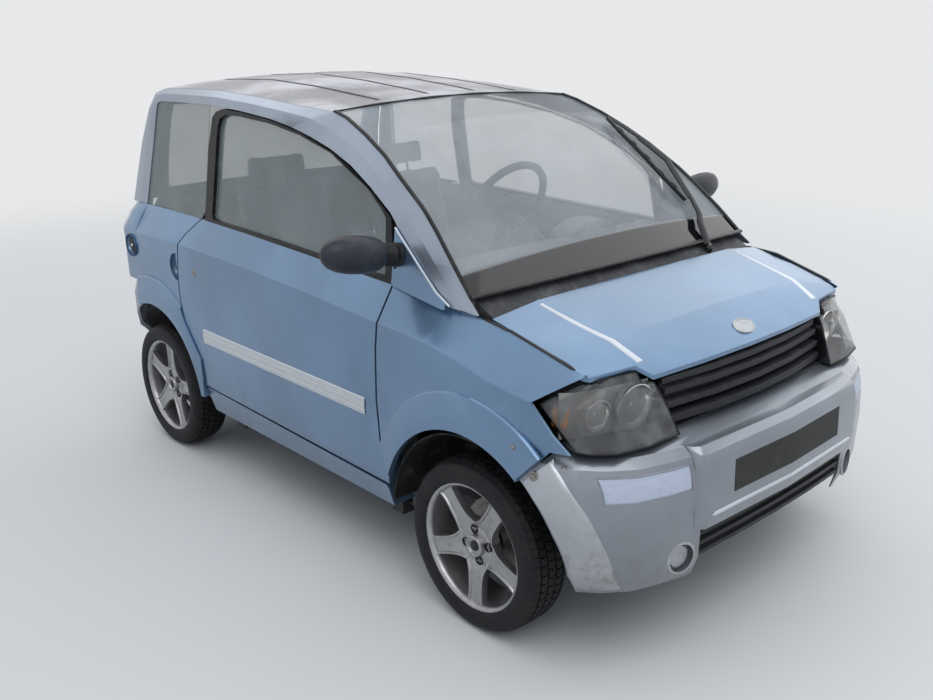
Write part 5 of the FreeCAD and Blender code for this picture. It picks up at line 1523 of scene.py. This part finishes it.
@dataclass
class RoadWheel:
    """One wheel: tyre with blocks and grooves, and a five-spoke rim."""

    name: str
    side: Side
    start: float
    back: float
    out: float = 624.0
    pitches: int = 62
    spoke_count: int = 5
    bolt_count: int = 4
    bolt_circle: float = 46.0

    @property
    def middle(self) -> Vector:
        """The wheel's middle."""
        return Vector((self.side.value * self.out, self.back, AXLE_HEIGHT))

    def build(self) -> None:
        """Make the wheel."""
        self.tyre()
        self.tread()
        self.rim()
        self.spokes()
        self.hub()

    def tyre(self) -> None:
        """The carcass with its grooved crown and ringed walls."""
        wall = [(-55, 181), (-61, 183), (-65, 185.5), (-68.5, 188), (-70.5, 196), (-71.2, 198), (-71.2, 201),
                (-71.8, 204), (-72, 212), (-71, 224), (-70.5, 226), (-69, 228), (-66, 236), (-60, 240.2),
                (-50, 241)]
        crown = [(-34, 241.4), (-12, 241.6), (12, 241.6), (34, 241.4)]
        inner = [(50, 179), (40, 190), (0, 205), (-40, 190), (-50, 179)]
        outline = wall + crown + [(-along, radius) for along, radius in reversed(wall)] + inner
        tyre = "tyre_" + self.name
        carcass = Mould().lathe(outline, self.middle, X_AXIS, 96, loop=True)
        carcass.cast(tyre + "_carcass", PALETTE.rubber, "wheel_" + self.name, stands_for=[tyre], sharp=50)

    def tread(self) -> None:
        """One pitch of the tread, repeated round the crown."""
        step = 2 * math.pi / self.pitches
        block = Mould()
        # Edges across, skew, length, the radius at each edge, and the shift. Angles are in pitches.
        rows = (
            (-61.5, -43.0, 0.16, 0.62, 238.0, 247.0, -0.05), (-37.5, -17.0, 0.24, 0.50, 247.4, 247.8, 0.22),
            (-12.0, 12.0, 0.30, 0.52, 247.9, 247.9, -0.18), (17.0, 37.5, 0.24, 0.50, 247.8, 247.4, 0.22),
            (43.0, 61.5, 0.16, 0.62, 247.0, 238.0, -0.05),
        )
        for low, high, skew, length, top_low, top_high, shift in rows:
            base, crown = [], []
            for share in (0.0, 0.5, 1.0):
                across = low + (high - low) * share
                for end in (0, 1):
                    bend = skew * (1 - (2 * share - 1) ** 2)
                    angle = step * (shift + bend + end * (length + 0.3))
                    for ring, radius in ((base, 238.0), (crown, top_low + (top_high - top_low) * share)):
                        ring.append(Vector((across, -math.sin(angle) * radius, math.cos(angle) * radius)))
            loop = (0, 2, 4, 5, 3, 1)
            block.skin([[base[i] for i in loop], [crown[i] for i in loop]], ring=True, ends=True)
        self.ringed(f"tyre_{self.name}_tread", block, PALETTE.rubber, self.pitches, 0.0, sharp=25)

    def ringed(
        self, name: str, pattern: Mould, finish: Finish, count: int, start: float, **options: object
    ) -> None:
        """Copies of a pattern round the axle, from a start angle in radians."""
        RING.make(name, pattern, finish, "wheel_" + self.name, count, start, self.middle, **options)

    def outwards(self, profile: Sequence[Pair]) -> list[Pair]:
        """A profile whose places are measured towards the wheel's outer face."""
        return [(self.side.value * along, radius) for along, radius in profile]

    def turned(
        self, part: str, profile: Sequence[Pair], finish: Finish, steps: int, loop: bool = False,
        **options: object,
    ) -> None:
        """A rim piece turned round the axle, from places outwards of the wheel's middle and radii."""
        mould = Mould().lathe(self.outwards(profile), self.middle, X_AXIS, steps, loop)
        mould.cast(f"rim_{self.name}_{part}", finish, "wheel_" + self.name, **options)

    def rim(self) -> None:
        """The rim's barrel with its bright lip."""
        profile = [(61, 177), (63.5, 181), (64, 184), (61.5, 186.5), (56, 186), (53, 181), (50, 177.5),
                   (42, 176), (30, 174), (-20, 166), (-48, 168), (-56, 176), (-60, 178), (-61, 174),
                   (-52, 164), (-22, 161), (28, 169), (43, 171), (51, 172), (57, 174)]
        self.turned("barrel", profile, PALETTE.alloy, 96, True, stands_for=["rim_" + self.name], sharp=40)

    def spokes(self) -> None:
        """One spoke with raised edges, repeated round the hub."""
        rows = []
        # Distance from the axle, half the width, how far out its face lies, and its depth.
        for along, half, face, deep in (
            (26, 21, 31, 28), (46, 36, 36, 27), (58, 41, 38.5, 25), (66, 37, 40, 24), (75, 32.5, 42, 22),
            (88, 29, 44, 20), (106, 27, 46, 19), (128, 26, 47.5, 18), (150, 26.5, 49, 17),
            (165, 28.5, 51, 16), (174, 32, 53, 17),
        ):
            lip = 4.6 if along > 50 else 1.0
            edge = [(-half, face - deep), (-half - 1, face - 3), (-half, face + lip - 0.8),
                    (-half + 2.2, face + lip), (-half + 5.0, face + lip - 0.5), (-half + 7.5, face - 0.6)]
            other = [(-wide, x) for wide, x in reversed(edge)]
            section = edge + [(0, face - 2.6)] + other + [(0, face - deep + 3)]
            rows.append([Vector((self.side.value * x, wide, along)) for wide, x in section])
        spoke = Mould().skin(rows, ring=True, ends=True)
        self.ringed(f"rim_{self.name}_spokes", spoke, PALETTE.alloy, self.spoke_count, self.start, sharp=38)

    def hub(self) -> None:
        """Hub disc, bolts on black discs that are painted shade for deep bolt holes, and the blank cap."""
        disc = [(5, 24), (5, 58), (30, 60), (35.5, 56), (37.5, 50), (37.0, 34), (37.0, 24)]
        well_shade_disc = [(37.4, 0), (37.4, 11.6), (39.6, 12.2), (39.6, 13.6), (36.0, 14.2), (36.0, 0)]
        bolt = [(37.2, 0), (37.2, 6.0), (38.6, 5.4), (38.6, 2), (38.2, 0)]
        cap = [(20, 32), (46, 32), (51, 30), (52.5, 27), (51.5, 24), (47, 22), (46, 12), (46.6, 0), (20, 0)]
        plug = [(46, 0), (46.2, 14), (48, 15.5), (48.8, 13.5), (49.4, 0)]
        self.turned("hub", disc, PALETTE.alloy, 60, True, sharp=35)
        start = self.start + math.pi / self.bolt_count
        # The well discs are black discs on the hub face: painted shade for deep bolt holes.
        for part, profile, finish, steps in (
            ("wells", well_shade_disc, PALETTE.seal, 24), ("bolts", bolt, PALETTE.steel, 6),
        ):
            pattern = Mould().lathe(self.outwards(profile), Vector((0, 0, self.bolt_circle)), X_AXIS, steps)
            self.ringed(f"rim_{self.name}_{part}", pattern, finish, self.bolt_count, start)
        self.turned("cap", cap, PALETTE.alloy, 48, sharp=40)
        self.turned("plug", plug, PALETTE.trim, 40, sharp=40)


@dataclass
class Cabin:
    """What shows through the glass."""

    seat_out: float = 292.0
    hood_out: float = 240.0
    hood_half: float = 118.0
    hood_foot: float = 912.0
    hood_height: float = 62.0
    hood_ends: Pair = (-430.0, -345.0)
    dial_outs: tuple[float, ...] = (190.0, 290.0)
    dial_place: Pair = (-392.0, 930.0)
    vent_outs: tuple[float, ...] = (-500.0, -60.0, 60.0, 500.0)
    voxel: float = 7.5
    pressure: float = 4.0
    swell_frames: int = 20
    seam_depth: float = 5.0
    seam_width: float = 30.0
    pad_forms: dict[str, tuple[list[Pair], float, float]] = field(default_factory=lambda: {
        "cushion": (
            [(170, 462), (164, 505), (180, 528), (300, 530), (420, 522), (520, 524), (552, 500), (552, 462)],
            200.0, 9.0,
        ),
        "backrest": (
            [(545, 545), (575, 540), (612, 700), (650, 850), (685, 990),
             (700, 1040), (672, 1048), (655, 1030), (600, 800)],
            196.0, 9.0,
        ),
        "headrest": ([(676, 1068), (684, 1148), (712, 1154), (728, 1120), (722, 1066)], 118.0, 7.0),
    })

    def build(self) -> None:
        """Make the cabin."""
        dress("dashboard", PALETTE.cabin, 3.0)
        dress("steering_wheel", PALETTE.trim, 0.0)
        dress("bulkhead", PALETTE.cabin, 1.0)
        dress("floor_pan", PALETTE.floor, 1.0)
        self.instruments()
        self.seats()

    def instruments(self) -> None:
        """The hood over the dials, the dials' rims and the air vents."""
        rows = []
        for share in spread(0.0, 1.0, 12):
            angle = math.pi * share
            out = self.hood_out - self.hood_half * math.cos(angle)
            rise = self.hood_foot + self.hood_height * math.sin(angle) ** 0.6
            inner = out * 0.97 + 7.2
            front, back = self.hood_ends
            rows.append([Vector((out, front, rise)), Vector((out, back, rise + 4)),
                         Vector((inner, back, rise - 4)), Vector((inner, front, rise - 8))])
        Mould().skin(rows, ring=True, ends=True).cast("dial_hood", PALETTE.cabin, sharp=50)
        dials = Mould()
        for out in self.dial_outs:
            rim = [(0, 40), (4, 40), (4, 36), (1, 35), (1, 0), (0, 0)]
            dials.lathe(rim, Vector((out, *self.dial_place)), Vector((0, 1, 0.35)), 36)
        dials.cast("dial_rims", PALETTE.trim)
        corners = [Vector((x, y, 0)) for x, y in ((-44, -2), (44, -2), (44, 2), (-44, 2))]
        slat = Mould().prism(corners, Vector((0, 0, 14)))
        way = Vector((0, 1, 0.3))
        marks = [(Vector((out, -337, 880 - 9 * k)), way) for out in self.vent_outs for k in range(5)]
        MARKS.make("air_vents", slat, PALETTE.trim, "body", marks)

    def pad(self, name: str, outline: Sequence[Pair], half: float, cap: float) -> bpy.types.Mesh:
        """A padded form from a side outline, swelled by cloth pressure and drawn in at its seams.

        Args:
            name: The mesh's name.
            outline: Side view points (Y, Z).
            half: Half its width.
            cap: How far a point may swell.

        Returns:
            The mesh, about X = 0, in metres.
        """
        middle_y, middle_z = (sum(values) / len(outline) for values in zip(*outline))
        rows = []
        for share in (-1.0, -0.92, -0.5, 0.0, 0.5, 0.92, 1.0):
            pull = 0.90 if abs(share) == 1.0 else 1.0
            rows.append([
                Vector((share * half, middle_y + (y - middle_y) * pull, middle_z + (z - middle_z) * pull))
                for y, z in outline
            ])
        work = stand(name + "_work", Mould().skin(rows, ring=True, ends=True).data(name))
        remesh = work.modifiers.new("voxels", "REMESH")
        remesh.mode = "VOXEL"
        remesh.voxel_size = self.voxel * MM
        solid = settled(work)
        work.modifiers.clear()
        work.data = solid
        solid = self.swelled(work, cap)
        bpy.data.objects.remove(work)
        smooth = bmesh.new()
        smooth.from_mesh(solid)
        for _ in range(4):
            bmesh.ops.smooth_vert(
                smooth, verts=smooth.verts, factor=0.5, use_axis_x=True, use_axis_y=True, use_axis_z=True,
            )
        for vertex in smooth.verts:
            off_seam = abs(abs((vertex.co / MM).x) - half * 0.45)
            share = 1 - min(off_seam, self.seam_width) / self.seam_width
            vertex.co -= vertex.normal * (self.seam_depth * share ** 2) * MM
        smooth.to_mesh(solid)
        smooth.free()
        return solid

    def swelled(self, work: bpy.types.Object, cap: float) -> bpy.types.Mesh:
        """A pad after its cover has been pumped up as cloth.

        Args:
            work: The pad.
            cap: How far a point may swell.

        Returns:
            The mesh.
        """
        rest = [vertex.co.copy() for vertex in work.data.vertices]
        cloth = work.modifiers.new("stuffing", "CLOTH")
        cloth.settings.use_pressure = True
        cloth.settings.uniform_pressure_force = self.pressure
        cloth.settings.effector_weights.gravity = 0.0
        for number in range(1, self.swell_frames + 1):
            bpy.context.scene.frame_set(number)
        mesh = settled(work)
        bpy.context.scene.frame_set(1)
        for vertex, old in zip(mesh.vertices, rest):
            move = vertex.co - old
            if move.length > cap * MM:
                vertex.co = old + move.normalized() * cap * MM
        return mesh

    def seats(self) -> None:
        """Two seats: cushion, backrest and headrest on a dark base."""
        base, posts = Mould(), Mould()
        outline = ((200, 404), (200, 450), (540, 450), (600, 560), (640, 560), (600, 404))
        for out in (-self.seat_out, self.seat_out):
            base.prism([Vector((out - 190, y, z)) for y, z in outline], Vector((380, 0, 0)))
            for shift in (-45, 45):
                posts.tube([Vector((out + shift, 690, 1030)), Vector((out + shift, 700, 1085))], 6.0, 12)
        base.cast("seat_bases", PALETTE.cabin, stands_for=["seats"], bevel=6.0)
        for form, (outline, half, cap) in self.pad_forms.items():
            mesh = self.pad("seat_" + form, outline, half, cap)
            for side in Side:
                copy = mesh.copy()
                copy.transform(Matrix.Translation((side.value * self.seat_out * MM, 0, 0)))
                name = f"seat_{form}_{side.name.lower()}"
                piece = set_up(copy, name, PALETTE.cloth, "body", slot="seat_cloth", sharp=80)
        posts.cast("headrest_posts", PALETTE.steel)


class Underside:
    """Frame, running gear and engine."""

    def build(self) -> None:
        """Make the running gear."""
        for node, finish, bead in (
            ("chassis_frame", PALETTE.under, 1.5), ("front_suspension", PALETTE.under, 1.5),
            ("rear_axle", PALETTE.steel, 1.5), ("wheel_arch_liners", PALETTE.liner, 0.8),
            ("engine_block", PALETTE.engine, 4.0), ("knuckle_right", PALETTE.disc, 1.0),
            ("knuckle_left", PALETTE.disc, 1.0),
        ):
            dress(node, finish, bead)


@dataclass
class Studio:
    """Camera, soft lights, pale floor and background, in metres."""

    place: Triple = (-2.2598, -2.5508, 1.5854)
    turn: float = 41.954
    dip: float = 18.122
    roll: float = -0.909
    lens: float = 37.497
    floor_size: float = 40.0
    floor_drop: float = 0.0005
    floor_colour: Triple = (0.72, 0.72, 0.71)
    backdrop: Triple = (0.80, 0.81, 0.82)
    fade: Pair = (2.6, 8.5)
    surround: tuple[tuple[float, Triple], ...] = ((0.05, (0.80, 0.81, 0.82)), (0.85, (0.97, 0.98, 1.0)))
    glow: tuple[tuple[float, Triple], ...] = (
        (0.0, (0.16, 0.18, 0.21)), (0.22, (0.36, 0.42, 0.52)), (0.75, (0.90, 0.94, 1.0)),
    )
    glow_strength: float = 0.85
    lamps: tuple[tuple[str, Triple, float, float], ...] = (
        ("key", (-2.0, -3.4, 5.2), 4.5, 105.0), ("fill", (5.6, -0.8, 3.9), 8.0, 120.0),
        ("back", (0.2, 3.6, 5.0), 4.0, 35.0),
    )

    def build(self) -> None:
        """Set the stage."""
        self.camera()
        self.floor()
        self.sky()
        for name, place, size, power in self.lamps:
            self.lamp(name, place, size, power)
        bpy.context.scene.view_settings.view_transform = "Standard"

    def camera(self) -> None:
        """The camera at the photograph's viewing angle."""
        data = bpy.data.cameras.new("photo_camera")
        data.sensor_width = 36.0
        data.lens = self.lens
        data.clip_start, data.clip_end = 0.05, 200.0
        yaw, pitch, roll = (math.radians(a) for a in (self.turn, self.dip, self.roll))
        ahead = Vector((math.sin(yaw) * math.cos(pitch), math.cos(yaw) * math.cos(pitch), -math.sin(pitch)))
        right = ahead.cross(Z_AXIS).normalized()
        up = right.cross(ahead)
        level = math.cos(roll) * right + math.sin(roll) * up
        high = -math.sin(roll) * right + math.cos(roll) * up
        turn = Matrix((level, high, -ahead)).transposed().to_4x4()
        camera = stand("photo_camera", data)
        camera.matrix_world = Matrix.Translation(Vector(self.place)) @ turn
        bpy.context.scene.camera = camera

    def floor(self) -> None:
        """A pale floor that keeps the shadow."""
        work = bmesh.new()
        bmesh.ops.create_grid(work, x_segments=4, y_segments=4, size=self.floor_size)
        mesh = bpy.data.meshes.new("floor")
        work.to_mesh(mesh)
        work.free()
        floor = stand("floor", mesh)
        floor.location.z = -self.floor_drop
        board = Board("pale_floor")
        board.shade(Base_Color=self.floor_colour, Roughness=0.9, Specular_IOR_Level=0.1)
        tree = board.tree
        squares = [board.calc("POWER", board.coordinate(index), 2.0) for index in (0, 1)]
        span = board.plus(*squares)
        far = board.band(board.calc("SQRT", span, 0.0), *self.fade)
        glow = tree.nodes.new("ShaderNodeEmission")
        glow.inputs["Color"].default_value = (*self.backdrop, 1)
        blend = tree.nodes.new("ShaderNodeMixShader")
        tree.links.new(board.times(far, seen_straight(tree)), blend.inputs[0])
        tree.links.new(board.shader.outputs[0], blend.inputs[1])
        tree.links.new(glow.outputs[0], blend.inputs[2])
        output = next(node for node in tree.nodes if node.type == "OUTPUT_MATERIAL")
        tree.links.new(blend.outputs[0], output.inputs[0])
        mesh.materials.append(board.material)

    def sky(self) -> None:
        """A surround that lights the car, and a paler one that is seen."""
        world = bpy.data.worlds.new("surround")
        bpy.context.scene.world = world
        world.use_nodes = True
        tree = world.node_tree
        tree.nodes.clear()
        place = tree.nodes.new("ShaderNodeTexCoord")
        parts = tree.nodes.new("ShaderNodeSeparateXYZ")
        tree.links.new(place.outputs["Generated"], parts.inputs[0])
        choice = tree.nodes.new("ShaderNodeMixShader")
        tree.links.new(seen_straight(tree), choice.inputs[0])
        skies = ((self.glow, self.glow_strength), (self.surround, 1.0))
        for number, (stops, strength) in enumerate(skies, 1):
            ramp = tree.nodes.new("ShaderNodeValToRGB")
            tree.links.new(parts.outputs["Z"], ramp.inputs["Fac"])
            for element, (height, colour) in zip(ramp.color_ramp.elements, (stops[0], stops[-1])):
                element.position, element.color = height, (*colour, 1)
            for height, colour in stops[1:-1]:
                ramp.color_ramp.elements.new(height).color = (*colour, 1)
            back = tree.nodes.new("ShaderNodeBackground")
            back.inputs["Strength"].default_value = strength
            tree.links.new(ramp.outputs[0], back.inputs["Color"])
            tree.links.new(back.outputs[0], choice.inputs[number])
        output = tree.nodes.new("ShaderNodeOutputWorld")
        tree.links.new(choice.outputs[0], output.inputs[0])

    def lamp(self, name: str, place: Triple, size: float, power: float) -> None:
        """A soft square lamp that faces the car.

        Args:
            name: The lamp's name.
            place: Where it hangs.
            size: Its side.
            power: Its watts.
        """
        data = bpy.data.lights.new(name, "AREA")
        data.size = size
        data.energy = power
        lamp = stand(name, data)
        lamp.location = place
        lamp.rotation_euler = (Vector((0, 0, 0.7)) - Vector(place)).to_track_quat("-Z", "Y").to_euler()


def seen_straight(tree: bpy.types.NodeTree) -> Socket:
    """1 for camera, glossy and transmission rays, and 0 for light that bounces.

    Args:
        tree: The tree that asks.

    Returns:
        The answer's socket.
    """
    path = tree.nodes.new("ShaderNodeLightPath")
    most = path.outputs["Is Camera Ray"]
    for ray in ("Is Glossy Ray", "Is Transmission Ray"):
        greater = tree.nodes.new("ShaderNodeMath")
        greater.operation = "MAXIMUM"
        tree.links.new(most, greater.inputs[0])
        tree.links.new(path.outputs[ray], greater.inputs[1])
        most = greater.outputs[0]
    return most


@dataclass
class Microcar:
    """The whole car."""

    parts: list[object] = field(default_factory=lambda: [
        Studio(), Bodywork(), Glazing(), Lamps(), Mirrors(), Wiper(), Cabin(), Underside(),
        RoadWheel("front_right", Side.RIGHT, math.radians(33.6), FRONT_AXLE),
        RoadWheel("front_left", Side.LEFT, math.radians(20.0), FRONT_AXLE),
        RoadWheel("rear_right", Side.RIGHT, math.radians(10.0), REAR_AXLE),
        RoadWheel("rear_left", Side.LEFT, math.radians(10.0), REAR_AXLE),
    ])

    def build(self) -> None:
        """Build the parts in order."""
        for part in self.parts:
            log.info("building %s", type(part).__name__)
            part.build()


def main() -> None:
    """Build the car."""
    logging.basicConfig(level=logging.INFO, format="%(name)s: %(message)s")
    Microcar().build()


if __name__ == "__main__":
    main()
